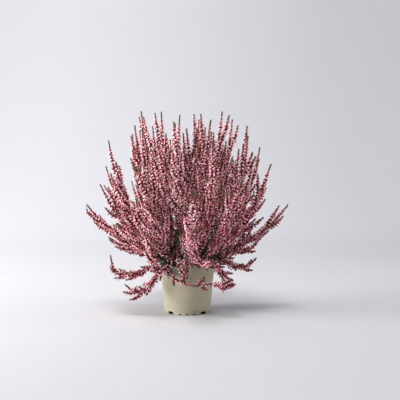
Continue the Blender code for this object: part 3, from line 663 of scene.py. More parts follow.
def planned_shoots():
    """Every shoot as (habit, cutting, line), before they are bent clear of each other."""
    draw = np.random.default_rng(GROWTH_SEED)
    places = cutting_places()
    shoots = []
    for i in range(UPRIGHT):
        azimuth = i * GOLDEN_ANGLE + draw.uniform(-0.12, 0.12)
        distance = UPRIGHT_SPREAD * math.sqrt((i + 0.5) / UPRIGHT)
        tip = polar(azimuth, distance, draw.uniform(*UPRIGHT_TIP))
        cutting = 0 if i < UPRIGHT // 3 else nearest_cutting(tip, places)
        shoots.append(("upright", cutting, arching(places[cutting], tip, draw.uniform(-SWAY, SWAY))))
    centre = np.array([0, 0, TRUNK_TOP])
    for i in range(LEANING):
        seen = LEANING_FROM_VERTICAL[i % len(LEANING_FROM_VERTICAL)]
        length = np.interp(seen, *LEANING_LENGTH)
        jitter = draw.uniform(-1, 1, 2) if i % len(LEANING_FROM_VERTICAL) else (0, 0)
        azimuth = math.pi + i * math.tau / LEANING + 0.13 * jitter[0]
        lean = math.radians(seen)
        tip = centre + polar(azimuth, math.sin(lean), math.cos(lean)) * length * (1 + 0.06 * jitter[1])
        cutting = nearest_cutting(tip, places)
        shoots.append(("leaning", cutting, arching(places[cutting], tip, draw.uniform(-SWAY, SWAY))))
    for habit, routes in (("leaning", OVER_RIM), ("trailing", TRAILING)):
        for route in routes:
            points = [polar(math.radians(a), r * MM, z * MM) for a, r, z in route]
            cutting = nearest_cutting(points[0], places)
            shoots.append((habit, cutting, through([places[cutting], *points])))
    for i in range(LEAFY):
        lean = math.radians(LEAFY_FROM_VERTICAL[i % 2])
        azimuth = FIRST_CUTTING + (i + 0.5) * math.tau / LEAFY
        cutting = nearest_cutting(polar(azimuth, CUTTING_RING, 0), places)
        tip = places[cutting] + polar(azimuth, math.sin(lean), math.cos(lean)) * LEAFY_LENGTH
        shoots.append(("leafy", cutting, arching(places[cutting], tip)))
    return shoots


def profile_of(habit):
    """(share of the shoot that is budded or leafy, radii along that share from the tip)"""
    if habit == "leafy":
        return LEAFY_SHARE, LEAFY_RADII
    return FLOWERING_SHARE[habit], [r * SPIKE_GIRTH[habit] for r in SPIKE_RADII]


def radii_along(habit):
    share, radii = profile_of(habit)
    from_tip = np.linspace(1, 0, SAMPLES)
    radius = np.interp(from_tip / share, SPIKE_SHARES, radii) * (2 if habit == "leafy" else 1)
    return np.where(from_tip > share, STEM_RADIUS[0], radius)


def pot_guard():
    """Fixed points with radii that stand for the pot's wall and rim."""
    points = []
    for height in np.arange(30 * MM, POT_HEIGHT, 7 * MM):
        outer = np.interp(height, (0, POT_HEIGHT), (BASE_RADIUS, RIM_RADIUS))
        for azimuth in np.linspace(0, math.tau, 60, endpoint=False):
            points.append(polar(azimuth, outer - WALL_GUARD + 1 * MM, height))
    rim = [polar(a, RIM_RADIUS - 2 * MM, POT_HEIGHT - 2 * MM) for a in np.linspace(0, math.tau, 90)]
    sizes = np.array([WALL_GUARD] * len(points) + [RIM_GUARD] * len(rim))
    return np.array(points + rim), sizes


def near_pairs(points, radii, owner, stem_of, count):
    """Pairs of samples of different shoots, or of a shoot and the pot, that are near enough to matter."""
    away = np.linalg.norm(points[:count, None] - points[None], axis=2)
    close = away < radii[:count, None] + radii[None] + NEAR
    close &= owner[:count, None] != owner[None]
    close &= (stem_of[:count, None] != stem_of[None]) | (stem_of[:count, None] < 0)
    return np.nonzero(np.triu(close, 1))


def bent_clear(shoots):
    """Bends the shoots' lines sideways until each has its room. Stems of one cutting may meet."""
    lines = np.array([resampled(line, SAMPLES) for _, _, line in shoots])
    sizes = np.array([radii_along(habit) for habit, _, _ in shoots])
    guard, guard_sizes = pot_guard()
    count = lines.shape[0] * SAMPLES
    owner = np.concatenate([np.repeat(np.arange(len(shoots)), SAMPLES), np.full(len(guard), len(shoots))])
    cutting = np.repeat([c for _, c, _ in shoots], SAMPLES)
    is_stem = (sizes == STEM_RADIUS[0]).ravel()
    stem_of = np.concatenate([np.where(is_stem, cutting, -1), np.full(len(guard), -1)])
    radii = np.concatenate([sizes.ravel() * BUD_PEAK, guard_sizes])
    moves = np.array([np.clip(along(line) / ROOTED, 0, 1) for line in lines])[:, :, None]
    for _ in range(ROUNDS):
        points = np.concatenate([lines.reshape(-1, 3), guard])
        first, second = near_pairs(points, radii, owner, stem_of, count)
        for _ in range(STEPS):
            points = np.concatenate([lines.reshape(-1, 3), guard])
            apart = points[first] - points[second]
            away = np.linalg.norm(apart, axis=1)
            short = np.maximum(radii[first] + radii[second] + CLEARANCE - away, 0)
            push = apart / np.maximum(away, 1e-9)[:, None] * (short * PUSH)[:, None]
            shift = np.zeros_like(points)
            np.add.at(shift, first, push)
            np.add.at(shift, second, -push)
            shift = shift[:count].reshape(lines.shape)
            for _ in range(6):
                shift[:, 1:-1] = (shift[:, :-2] + 2 * shift[:, 1:-1] + shift[:, 2:]) / 4
                shift[:, -1] = (shift[:, -1] + shift[:, -2]) / 2
            lines = lines + shift * moves
        lines = np.array([resampled(line, SAMPLES) for line in lines])
    return lines, sizes


def frames_along(points):
    """Two directions square to a line at each of its points, carried along it without twist."""
    tangents = unit(np.gradient(points, axis=0))
    across = np.cross(tangents[0], [0.3, 1.0, 0.2])
    acrosses = []
    for tangent in tangents:
        across = unit(across - tangent * (across @ tangent))
        acrosses.append(across)
    acrosses = np.array(acrosses)
    return tangents, acrosses, np.cross(tangents, acrosses)


def leaning(forwards, outwards, lean):
    """Directions that lean outwards from others by an angle."""
    return forwards * np.cos(lean)[:, None] + outwards * np.sin(lean)[:, None]


def around(line, places, turns):
    """Places along a line, the line's direction at each, and the way outwards at a turn round it."""
    at = along(line)
    forwards, across, beside = [picked(at, places, values) for values in frames_along(line)]
    return picked(at, places, line), forwards, leaning(across, beside, turns)


def end_part(line, share, count=SAMPLES):
    """The last share of a line, towards its tip."""
    at = along(line)
    return picked(at, np.linspace(at[-1] * (1 - share), at[-1], count), line)


def bare_part(line, share, count=160):
    """The rest of a shoot, from its root to a little way into its flowering share."""
    return resampled(line, count)[: int(count * (1 - share)) + 4]


def tube(line, radii, sides, draw, roughness=0.0):
    """A tapering stem along a line, as (points, triangles, share along it, tone), closed at both ends."""
    _, across, beside = frames_along(line)
    count = len(line)
    turns = np.arange(sides) * math.tau / sides
    size = np.asarray(radii)[:, None] * (1 + roughness * draw.uniform(-1, 1, (count, sides)))
    outwards = across[:, None] * np.cos(turns)[:, None] + beside[:, None] * np.sin(turns)[:, None]
    rings = line[:, None] + outwards * size[..., None]
    points = np.concatenate([rings.reshape(-1, 3), line[:1], line[-1:]])
    faces = []
    for i in range(count - 1):
        for k in range(sides):
            a, b = i * sides + k, i * sides + (k + 1) % sides
            faces += [(a, b, b + sides), (a, b + sides, a + sides)]
    last = (count - 1) * sides
    for k in range(sides):
        j = (k + 1) % sides
        faces += [(j, k, count * sides), (last + k, last + j, count * sides + 1)]
    share = np.concatenate([np.repeat(np.linspace(0, 1, count), sides), [0, 1]])
    return points, np.array(faces), share, draw.uniform(0, 1, len(points))


def pointed(sides, rings):
    """A small closed shape along +Z from 0 to 1, from rings of (height, radius, share of a turn)."""
    points = [(0, 0, 0)]
    for height, radius, turned in rings:
        for k in range(sides):
            turn = (k + turned) * math.tau / sides
            points.append((radius * math.cos(turn), radius * math.sin(turn), height))
    points.append((0, 0, 1))
    faces = []
    for k in range(sides):
        j = (k + 1) % sides
        faces.append((0, 1 + j, 1 + k))
        for r in range(len(rings) - 1):
            low, high = 1 + r * sides, 1 + (r + 1) * sides
            faces += [(low + k, low + j, high + k), (low + j, high + j, high + k)]
        top = 1 + (len(rings) - 1) * sides
        faces.append((top + k, top + j, len(points) - 1))
    return np.array(points, float), np.array(faces)


def set_out(shape, at, pointing, length, half_width, tone):
    """Copies one small shape to many places, each pointing its own way."""
    points, faces = shape
    pointing = unit(pointing)
    across = unit(np.cross(pointing, [0.31, 0.52, 0.79]))
    beside = np.cross(pointing, across)
    spots = at[:, None] + points[None, :, 2:] * (pointing * length[:, None])[:, None]
    spots = spots + points[None, :, :1] * (across * half_width[:, None])[:, None]
    spots = spots + points[None, :, 1:2] * (beside * half_width[:, None])[:, None]
    corners = faces[None] + np.arange(len(at))[:, None, None] * len(points)
    share = np.tile(points[:, 2], len(at))
    spin = np.tile(np.cos(np.arctan2(points[:, 1], points[:, 0])), len(at))
    tones = np.clip(np.repeat(tone, len(points)), 0, 1)
    return spots.reshape(-1, 3), corners.reshape(-1, 3), share, np.clip(tones + 0.01 * spin, 0, 1)


def grown(name, groups, finishes):
    """One piece from groups of (points, triangles, share along, tone), with a finish for each group.
    Each finish reads only the share along and the tone, so the bake map lays those two out as its axes."""
    parts, numbers = zip(*groups)
    spots, corners, shares, tones = zip(*parts)
    starts = np.cumsum([0, *map(len, spots)])
    faces = np.concatenate([sides + start for sides, start in zip(corners, starts)])
    points = np.clip(np.concatenate(spots), np.array(cad_low), np.array(cad_high))
    share, tone = np.concatenate(shares), np.concatenate(tones)
    finish_of = np.repeat(numbers, [len(sides) for sides in corners])
    columns = (np.repeat(numbers, [len(some) for some in spots]) + 0.05 + 0.9 * tone) / len(finishes)
    mesh = bpy.data.meshes.new(name)
    for finish in finishes:
        mesh.materials.append(finish)
    mesh.vertices.add(len(points))
    mesh.vertices.foreach_set("co", points.astype(np.float32).ravel())
    mesh.loops.add(faces.size)
    mesh.loops.foreach_set("vertex_index", faces.astype(np.int32).ravel())
    mesh.polygons.add(len(faces))
    mesh.polygons.foreach_set("loop_start", np.arange(0, faces.size, 3, dtype=np.int32))
    mesh.polygons.foreach_set("material_index", finish_of.astype(np.int32))
    mesh.polygons.foreach_set("use_smooth", np.ones(len(faces), bool))
    mesh.update(calc_edges=True)
    for label, values in (("along", share), ("tone", tone)):
        mesh.attributes.new(label, "FLOAT", "POINT").data.foreach_set("value", values.astype(np.float32))
    spread = np.stack([columns, 0.03 + 0.94 * share], axis=1)[faces.ravel()]
    mesh.uv_layers.new(name="OFBake").data.foreach_set("uv", spread.astype(np.float32).ravel())
    mesh.validate()
    return placed(name, mesh)


def twiglets(line, room, pitch, draw):
    """Short side twigs along a line, in crossed pairs, as (roots, directions, lengths)."""
    whole = along(line)[-1]
    places = np.arange(pitch, whole, pitch)
    turns = np.arange(len(places)) * (math.pi / 2 + 0.2) + draw.uniform(-0.3, 0.3, len(places))
    roots, directions, lengths = [], [], []
    for half in (0, math.pi):
        spots, forwards, outwards = around(line, places, turns + half)
        roots.append(spots)
        directions.append(leaning(forwards, outwards, np.radians(draw.uniform(*TWIGLET_LEAN, len(places)))))
        lengths.append(np.interp(places / whole, *room) * draw.uniform(0.7, 1.15, len(places)))
    return np.concatenate(roots), unit(np.concatenate(directions)), np.concatenate(lengths)


def scale_leaves(roots, directions, lengths, tone, draw, pitch=LEAF_PITCH, size=1.0, open_angle=LEAF_LEAN):
    """Scale leaves in crossed pairs all along twigs, and one at each tip."""
    across = unit(np.cross(directions, [0.2, 0.7, 0.4]))
    beside = np.cross(directions, across)
    leaves = [(roots + directions * lengths[:, None], directions, np.arange(len(roots)))]
    for step in range(int(lengths.max() / pitch) + 1):
        distance = lengths - (step + 0.35) * pitch
        on = np.nonzero(distance > 0.2 * pitch)[0]
        for half in (0, math.pi):
            turn = step * math.pi / 2 + half + draw.uniform(-0.25, 0.25, len(on))
            outwards = leaning(across[on], beside[on], turn)
            lean = np.radians(open_angle + draw.uniform(-8, 8, len(on)))
            spots = roots[on] + directions[on] * distance[on, None]
            leaves.append((spots, leaning(directions[on], outwards, lean), on))
    at, pointing, kept = map(np.concatenate, zip(*leaves))
    length = LEAF_LENGTH * size * draw.uniform(0.8, 1.15, len(at))
    tones = np.broadcast_to(tone, len(roots))[kept] + draw.normal(0, 0.09, len(at))
    return set_out(leaf_shape, at, pointing, length, np.full(len(at), LEAF_HALF_WIDTH * size), tones)


def leafy_tip(line, tip_length, short_by, tone, draw, *sizes):
    """Scale leaves all along a line's tip, with their pitch, size and opening angle as sizes."""
    start, end = end_part(line, tip_length / along(line)[-1], 2)
    reach = end - start
    lengths = np.array([np.linalg.norm(reach) - short_by])
    return scale_leaves(start[None], unit(reach)[None], lengths, tone, draw, *sizes)


def fine_twigs(roots, directions, lengths, radius, draw):
    """The thin stems of side twigs, as three-sided points."""
    tones = draw.uniform(0, 1, len(roots))
    return set_out(twig_shape, roots, directions, lengths, np.full(len(roots), radius), tones)


def leaves_along(line, pitch, tone, draw):
    """Scale leaves in crossed pairs up a stem."""
    places = np.repeat(np.arange(pitch, along(line)[-1], pitch), 2)
    turns = np.arange(len(places)) // 2 * (math.pi / 2 + 0.1) + np.arange(len(places)) % 2 * math.pi
    spots, forwards, outwards = around(line, places, turns)
    pointing = leaning(forwards, outwards, np.radians(STEM_LEAF_LEAN + draw.uniform(-12, 12, len(places))))
    size = LEAF_LENGTH * draw.uniform(1.1, 1.6, len(places))
    tones = tone + draw.normal(0, 0.12, len(places))
    return set_out(leaf_shape, spots, pointing, size, size * 0.26, tones)


def rising(tree, reading, low, high):
    """Black to white between two values of one of the mesh's readings."""
    return ramped(tree, reading, (low, high), ((0, 0, 0), WHITE))


leaf_shape = pointed(3, [(0.42, 1, 0)])
twig_shape = pointed(3, [(0.04, 1, 0)])

bark, tree, shader = new_finish("flaking_bark", BARK_BROWNS[1], 0.85, 0.2)
browns = ramped(tree, "tone", (0, 0.55, 1), BARK_BROWNS)
reds = ramped(tree, "tone", (0, 1), BARK_REDS)
tree.links.new(blended(tree, rising(tree, "along", 0.3, 1), browns, reds), shader.inputs["Base Color"])

scale_leaf, tree, shader = new_finish("scale_leaf", LEAF_GREENS[1], 0.55, 0.2)
greens = ramped(tree, "along", (0, 0.5, 1), LEAF_GREENS)
bronzes = ramped(tree, "along", (0, 0.5, 1), LEAF_BRONZES)
ageing = rising(tree, "tone", 0.25, 0.8)
tree.links.new(blended(tree, ageing, greens, bronzes), shader.inputs["Base Color"])

cuttings = cutting_places()
shoots = planned_shoots()
lines, sizes = bent_clear(shoots)
for index, place in enumerate(cuttings):
    draw = np.random.default_rng(100 + index)
    heights = np.linspace(SOIL_TOP - TRUNK_DEPTH, TRUNK_TOP + 2 * MM, TRUNK_RINGS)
    trunk = np.array([[*place[:2], height] for height in heights])
    trunk[:, :2] += draw.uniform(-0.25, 0.25, (TRUNK_RINGS, 2)) * MM
    girth = np.interp(np.linspace(0, 1, TRUNK_RINGS), *TRUNK_GIRTH) * TRUNK_RADIUS
    bark_parts = [tube(trunk, girth, 12, draw, 0.07)]
    leaf_parts = []
    for (habit, cutting, _), line in zip(shoots, lines):
        if cutting != index:
            continue
        share = profile_of(habit)[0]
        stem = resampled(bare_part(line, share), STEM_RINGS)
        bark_parts.append(tube(stem, np.linspace(*STEM_RADIUS, STEM_RINGS), 8, draw, 0.1))
        roots, directions, lengths = twiglets(stem[4:], TWIGLET_ROOM, TWIGLET_PITCH, draw)
        lengths = lengths * draw.uniform(*TWIGLET_LENGTH, len(lengths))
        bark_parts.append(fine_twigs(roots, directions, lengths, TWIGLET_RADIUS, draw))
        tones = draw.uniform(0, 0.45, len(roots))
        leaf_parts.append(scale_leaves(roots, directions, lengths, tones, draw, *OLD_LEAVES))
    turns = np.arange(BASAL_TWIGS) * GOLDEN_ANGLE + draw.uniform(-0.3, 0.3, BASAL_TWIGS)
    lean = np.radians(draw.uniform(*BASAL_LEAN, BASAL_TWIGS))
    outwards = np.stack([np.cos(turns), np.sin(turns), np.zeros(BASAL_TWIGS)], axis=1)
    directions = leaning(UP, outwards, lean)
    roots = np.array([*place[:2], SOIL_TOP]) + UP * draw.uniform(3, 12, (BASAL_TWIGS, 1)) * MM
    lengths = draw.uniform(18, 34, BASAL_TWIGS) * MM
    bark_parts.append(fine_twigs(roots, directions, lengths, BASAL_RADIUS, draw))
    tones = draw.uniform(0, 0.3, BASAL_TWIGS)
    leaf_parts.append(scale_leaves(roots, directions, lengths, tones, draw, size=1.2))
    groups = [(part, 0) for part in bark_parts] + [(part, 1) for part in leaf_parts]
    stems = grown(f"woody_stems_{index + 1}", groups, (bark, scale_leaf))
    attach(stems, "root")
    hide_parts(f"woody_base_{index + 1}")

# Leafy shoots
# Five short young shoots without buds fill the middle of the plant. Each carries side twigs closely set with
# crossed pairs of dark green scale leaves.
TWIGS = (0.3, 0.55)
TWIG_LENGTH = 26 * MM
TWIG_ROOM = ((0, 0.1, 0.75, 1), in_mm(2.5, 5.5, 5, 1.5))
TWIG_PITCH = 1.9 * MM
TWIG_RADIUS = 0.28 * MM
LEAFY_STEM = (0.9, 0.35, 16)
LEAFY_TIP = 6 * MM
DIRECTIONS = 12
# A flowering shoot has two side spikes: one that runs up beside its own, and one that branches off lower down
BESIDE_OFFSET = 13.5 * MM
BESIDE_FROM = 0.66
BESIDE_TIPS = (0.12, 0.3)
BESIDE_RADII = in_mm(0.5, 2.0, 3.0, 3.8, 4.3, 4.4, 4.0, 2.4)
BESIDE_LEAST_SPIKE = 130 * MM
BRANCH_FROM = (0.08, 0.3)
BRANCH_LENGTH = 58 * MM
BRANCH_ANGLE = math.radians(33)
BRANCH_RADII = in_mm(0.5, 1.8, 2.9, 4.0, 4.6, 4.6, 4.0, 2.2)


def beside_tip(spike, direction, tip_share):
    """A side spike's line: it leaves the spike's core, then runs up beside it and stops short of its tip."""
    _, across, beside = frames_along(spike)
    begin, end = round(SAMPLES * (1 - BESIDE_FROM)), round(SAMPLES * (1 - tip_share))
    share = np.linspace(0, 1, end - begin)
    out = BESIDE_OFFSET * (share * (2 - share)) ** 0.8
    sideways = across * math.cos(direction) + beside * math.sin(direction)
    return resampled(spike[begin:end] + sideways[begin:end] * out[:, None], SAMPLES // 2)


def forked(line, frames, i, direction, angle, length, lift):
    """A side shoot's line: it leaves a point of its parent's at an angle, then bends up a little."""
    tangents, across, beside = frames
    sideways = across[i] * math.cos(direction) + beside[i] * math.sin(direction)
    reach = tangents[i] * math.cos(angle) + sideways * math.sin(angle)
    onwards = unit(reach + 0.3 * tangents[i] + lift * UP)
    middle = line[i] + reach * length * 0.5
    return resampled(through([line[i], middle, middle + onwards * length * 0.5]), SAMPLES // 2)


def branching(spike, direction, share, length):
    i = round(share * (SAMPLES - 1))
    return forked(spike, frames_along(spike), i, direction, BRANCH_ANGLE, length, 0.3)


def side_sizes(radii):
    return np.interp(np.linspace(1, 0, SAMPLES // 2), SPIKE_SHARES, radii) * BUD_PEAK


def side_shoots():
    """For each shoot, its side spikes or twigs as (line, radii), each where it has the most room."""
    draw = np.random.default_rng(GROWTH_SEED + 1)
    found = [[] for _ in shoots]
    for i, (habit, _, _) in enumerate(shoots):
        spike = end_part(lines[i], profile_of(habit)[0])
        begin = draw.uniform(*BRANCH_FROM)
        tip_share = draw.uniform(*BESIDE_TIPS)
        wanted = []
        if habit == "leafy":
            wanted = [(branching, (at, TWIG_LENGTH), LEAFY_RADII) for at in TWIGS]
        elif habit != "trailing":
            wanted.append((branching, (begin, BRANCH_LENGTH), BRANCH_RADII))
            if along(spike)[-1] > BESIDE_LEAST_SPIKE:
                wanted.append((beside_tip, (tip_share,), BESIDE_RADII))
        others = [(lines[j], sizes[j] * BUD_PEAK) for j in range(len(lines)) if j != i]
        others += [(line, side_sizes(radii)) for sides in found[:i] for line, radii in sides]
        for rule, values, radii in wanted:
            tries = []
            points, point_sizes = map(np.concatenate, zip(*others))
            for turn in range(DIRECTIONS):
                line = rule(spike, turn * math.tau / DIRECTIONS, *values)
                away = np.linalg.norm(line[:, None] - points[None], axis=2)
                room = (away - side_sizes(radii)[:, None] - point_sizes[None]).min()
                tries.append((float(room), turn, line))
            room, _, line = max(tries, key=lambda t: t[:2])
            if room > CLEARANCE:
                found[i].append((line, radii))
                others.append((line, side_sizes(radii)))
    return found


sides = side_shoots()
number = 0
for (habit, _, _), line, side in zip(shoots, lines, sides):
    if habit != "leafy":
        continue
    number += 1
    draw = np.random.default_rng(200 + number)
    groups = []
    for run in [end_part(line, LEAFY_SHARE)] + [twig for twig, _ in side]:
        radii = np.linspace(*LEAFY_STEM) * MM
        groups.append((tube(resampled(run, len(radii)), radii, 5, draw, 0.1), 0))
        roots, directions, lengths = twiglets(run, TWIG_ROOM, TWIG_PITCH, draw)
        groups.append((fine_twigs(roots, directions, lengths, TWIG_RADIUS, draw), 0))
        tones = draw.uniform(0, 0.4) + draw.uniform(-0.15, 0.2, len(roots))
        groups.append((scale_leaves(roots, directions, lengths, tones, draw), 1))
        groups.append((leafy_tip(run, LEAFY_TIP, 0, 0.5, draw), 1))
    leafy = grown(f"leafy_{number:02d}", groups, (bark, scale_leaf))
    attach(leafy, "root")
    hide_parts(f"leafy_shoot_{number:02d}")

# Flowering shoots
# Each flowering shoot is a reddish wiry stem closely set with short side sprays of small egg-shaped buds.
# They never open, and are crimson where they sit, dusky pink above and cream at the tip. The shoot ends in a
# soft olive leaf tip.
# Sprays stand in crossed pairs, each pair a little more than a quarter turn on, and closer towards the tip
SPRAY_PITCH = 3.5 * MM
CROWDED = 0.32
CROWDED_OVER = 12
TWIST = 0.17
SPRAY_LEAN = (in_mm(2, 7), (42, 56))
ON_STEM = 1.5 * MM
BUD_ROOM = in_mm(0.3, 0.3, 3)
BUD_OUTWARDS = (0.62, 0.78)
RIPE_OVER = 16 * MM
BUD_SPACING = 3.1 * MM
BUD_LENGTH = 5.1 * MM
BUD_HALF_WIDTH = 1.75 * MM
FULLNESS = {"upright": 1.18, "leaning": 1.2, "trailing": 1.5}
DEEP_BUD = ((0.05, 0.003, 0.007), (0.15, 0.01, 0.023), (0.4, 0.04, 0.08), (0.74, 0.2, 0.27))
PALE_BUD = ((0.1, 0.006, 0.015), (0.4, 0.028, 0.064), (0.88, 0.27, 0.35), (0.99, 0.8, 0.8))
UNRIPE_BUD = ((0.06, 0.025, 0.015), (0.15, 0.06, 0.035), (0.22, 0.11, 0.06), (0.30, 0.19, 0.11))
BUD_BANDS = (0.1, 0.32, 0.5, 0.76)
STEM_REDS = ((0.07, 0.01, 0.012), (0.16, 0.035, 0.03))
STEM_TANS = ((0.08, 0.016, 0.014), (0.16, 0.05, 0.035))
# A bud's tone runs from unripe, up to RIPE_TONE, to the palest at 1. Low on the plant it is painted deeper:
# painted shade.
RIPE_TONE = 0.14
RIPENESS = 0.93
PAINTED_LIGHT_ADDS = 0.4
PALEST_FROM = 300 * MM
DEEPEST_BELOW = 170 * MM
PAINTED_SHADE_LOW = 0.42
# Painted shade: buds further inside a spray are darker, step by step.
INNER_PAINTED_SHADE = (0.1, 0.55, 0.6)
# Shoots that differ, by number: the palest (painted paler, as light on these low shoots that sit in shade), a
# thick one, those without sprigs on their stem's bare part, and the thin ones that hang over the pot's front
# and cross it
PAINTED_LIGHT_SHOOTS = (37, 38, 42, 43)
THICK = 37
THICK_FULLNESS = 1.4
BARE_BELOW = (37, 39, 40)
HANGING = 42
CROSSING = 43
THIN_RADII = {
    HANGING: in_mm(1.5, 3.6, 5.2, 6.2, 5.4, 4.6, 4.2, 3.6),
    CROSSING: in_mm(3.0, 7.6, 7.4, 4.0, 1.7, 3.8, 5.2, 4.2),
}
# Listed sprigs: the share along the shoot where each leaves it, then points from there in mm
SPRIGS_BY_HAND = {
    3: ((0.36, (-9, -1, 18), (-10, 1, 38), (-8, 3, 52)),),
    6: ((0.4, (-2, 3, 22), (-1, 5, 44), (0, 6, 64)),),
    9: ((0.08, (5, 0, 18), (10, 0, 38)), (0.3, (4, -3, 20), (7, -5, 42)), (0.38, (8, -6, 15), (13, -8, 32))),
    13: ((0.04, (0, -5, 14), (1, -8, 30)),),
    14: (
        (0.05, (-1, -4, 22), (1, -6, 46)),
        (0.12, (4, -8, 20), (6, -12, 42)),
        (0.4, (-3, -3, 18), (-5, -4, 40)),
        (0.0, (-1, -3, 12), (-2, -4, 28)),
        (0.36, (-4, 2, 10), (-6, 3, 24), (-6, 4, 40)),
        (0.49, (-4, 2, 14), (-5, 4, 36), (-4, 5, 56)),
    ),
    20: ((0.03, (-2, -4, 12), (-4, -6, 28)),),
    26: ((0.04, (5, 2, 1), (12, 3, 0)), (0.44, (-2, -2, 14), (-2, -4, 30))),
    27: ((0.12, (1, -5, 10), (3, -8, 20)), (0.36, (2, -3, 12), (5, -4, 24))),
    28: ((0.08, (-3, -6, 20), (-5, -8, 40)), (0.0, (-2, -6, 10), (-4, -9, 24))),
    30: ((0.08, (10, 4, 14), (18, 8, 32)),),
    37: ((0.0, (6, 2, 12), (9, 3, 26)), (0.02, (-1, -2, 8), (-2, -4, 17))),
    38: (
        (0.0, (-2, -14, -2), (-5, -23, -12), (-5, -25, -30)),
        (0.0, (-5, -10, 2), (-8, -22, -5), (-9, -26, -22)),
        (0.0, (-8, 1, 8), (-14, 2, 20)),
        (0.02, (6, -10, 0), (13, -17, -6), (18, -18, -12)),
    ),
    40: ((0.6, (-4, -5, 4), (-9, -8, 9)), (0.72, (-3, -5, 3), (-7, -10, 4)), (0.8, (2, -5, 5), (3, -10, 8))),
    43: (
        (0.56, (5, -2, 6), (10, -3, 14)),
        (0.88, (11, 0, -3), (26, 1, -2)),
        (0.9, (9, -2, 4), (22, -3, 9)),
        (0.94, (8, -3, 0), (20, -5, 3)),
        (0.86, (6, -4, -5), (13, -6, -6)),
    ),
    44: ((0.02, (3, -9, 0), (7, -15, -14)), (0.1, (5, -8, -4), (12, -12, -10))),
    45: ((0.0, (5, -2, 8), (13, -3, 15)), (0.15, (4, 0, 8), (11, 0, 18))),
}
BY_HAND_GIRTH = 1.4
# Painted light: the listed sprigs are painted paler than their shoot.
LISTED_SPRIG_PAINTED_LIGHT = 0.2
BY_HAND_TIP = 5 * MM
# The spike's stem is thickened into a dark core. It is partly the real stem and partly a dark filling that
# stands in for the shade inside the spike.
SHADE_CORE_SHARE = 0.3
CORE_RING_PITCH = 9 * MM
STALK_RADIUS = 0.3 * MM
TIP_TONE = 0.85
TIP_LENGTH = in_mm(8, 13)
TIP_LEAVES = (0.8 * MM, 1.5, 24)
SIDE_TIP = 0.6
# Sets of sprigs for each habit of shoot, and for the thin shoots: how many, between which shares of the line,
# from how long to how long in mm, and the angles at which they leave it. The last set is for the bare part.
SPRIG_ANGLES = (24, 38)
TOP_SPRIG_ANGLES = (9, 17)
THIN_SPRIG_ANGLES = (35, 65)
SPRIGS = {
    "upright": (
        (4, (0.3, 0.74), (45, 80), TOP_SPRIG_ANGLES),
        (8, (0.02, 0.66), (28, 50), SPRIG_ANGLES),
        (0, (0.5, 1.0), (25, 45), SPRIG_ANGLES),
    ),
    "leaning": (
        (2, (0.3, 0.7), (40, 70), TOP_SPRIG_ANGLES),
        (7, (0.06, 0.7), (24, 46), SPRIG_ANGLES),
        (1, (0.6, 1.0), (22, 42), SPRIG_ANGLES),
    ),
    "trailing": (
        (0, (0.3, 0.6), (10, 20), TOP_SPRIG_ANGLES),
        (8, (0.0, 0.8), (12, 26), SPRIG_ANGLES),
        (3, (0.4, 1.0), (16, 30), SPRIG_ANGLES),
    ),
    HANGING: ((2, (0.2, 0.7), (9, 14), THIN_SPRIG_ANGLES),),
    CROSSING: (
        (4, (0.84, 0.98), (8, 14), THIN_SPRIG_ANGLES),
        (2, (0.5, 0.72), (8, 13), THIN_SPRIG_ANGLES),
        (4, (0.0, 0.3), (8, 13), THIN_SPRIG_ANGLES),
    ),
}
TALLEST = 364 * MM
LOWEST = 8 * MM
POT_FRONT = in_mm(35, 46, 79)
# The share of the sprigs that is unripe, marked by a tone under 0
UNRIPE_SPRIGS = 0.07
UNRIPE_TONE = -0.3
SPRIG_ROOM = 12 * MM
SPRIG_RADII = tuple(r * 1.17 * MM for r in (0.5, 1.8, 2.9, 3.9, 4.4, 4.4, 4.0, 2.2))


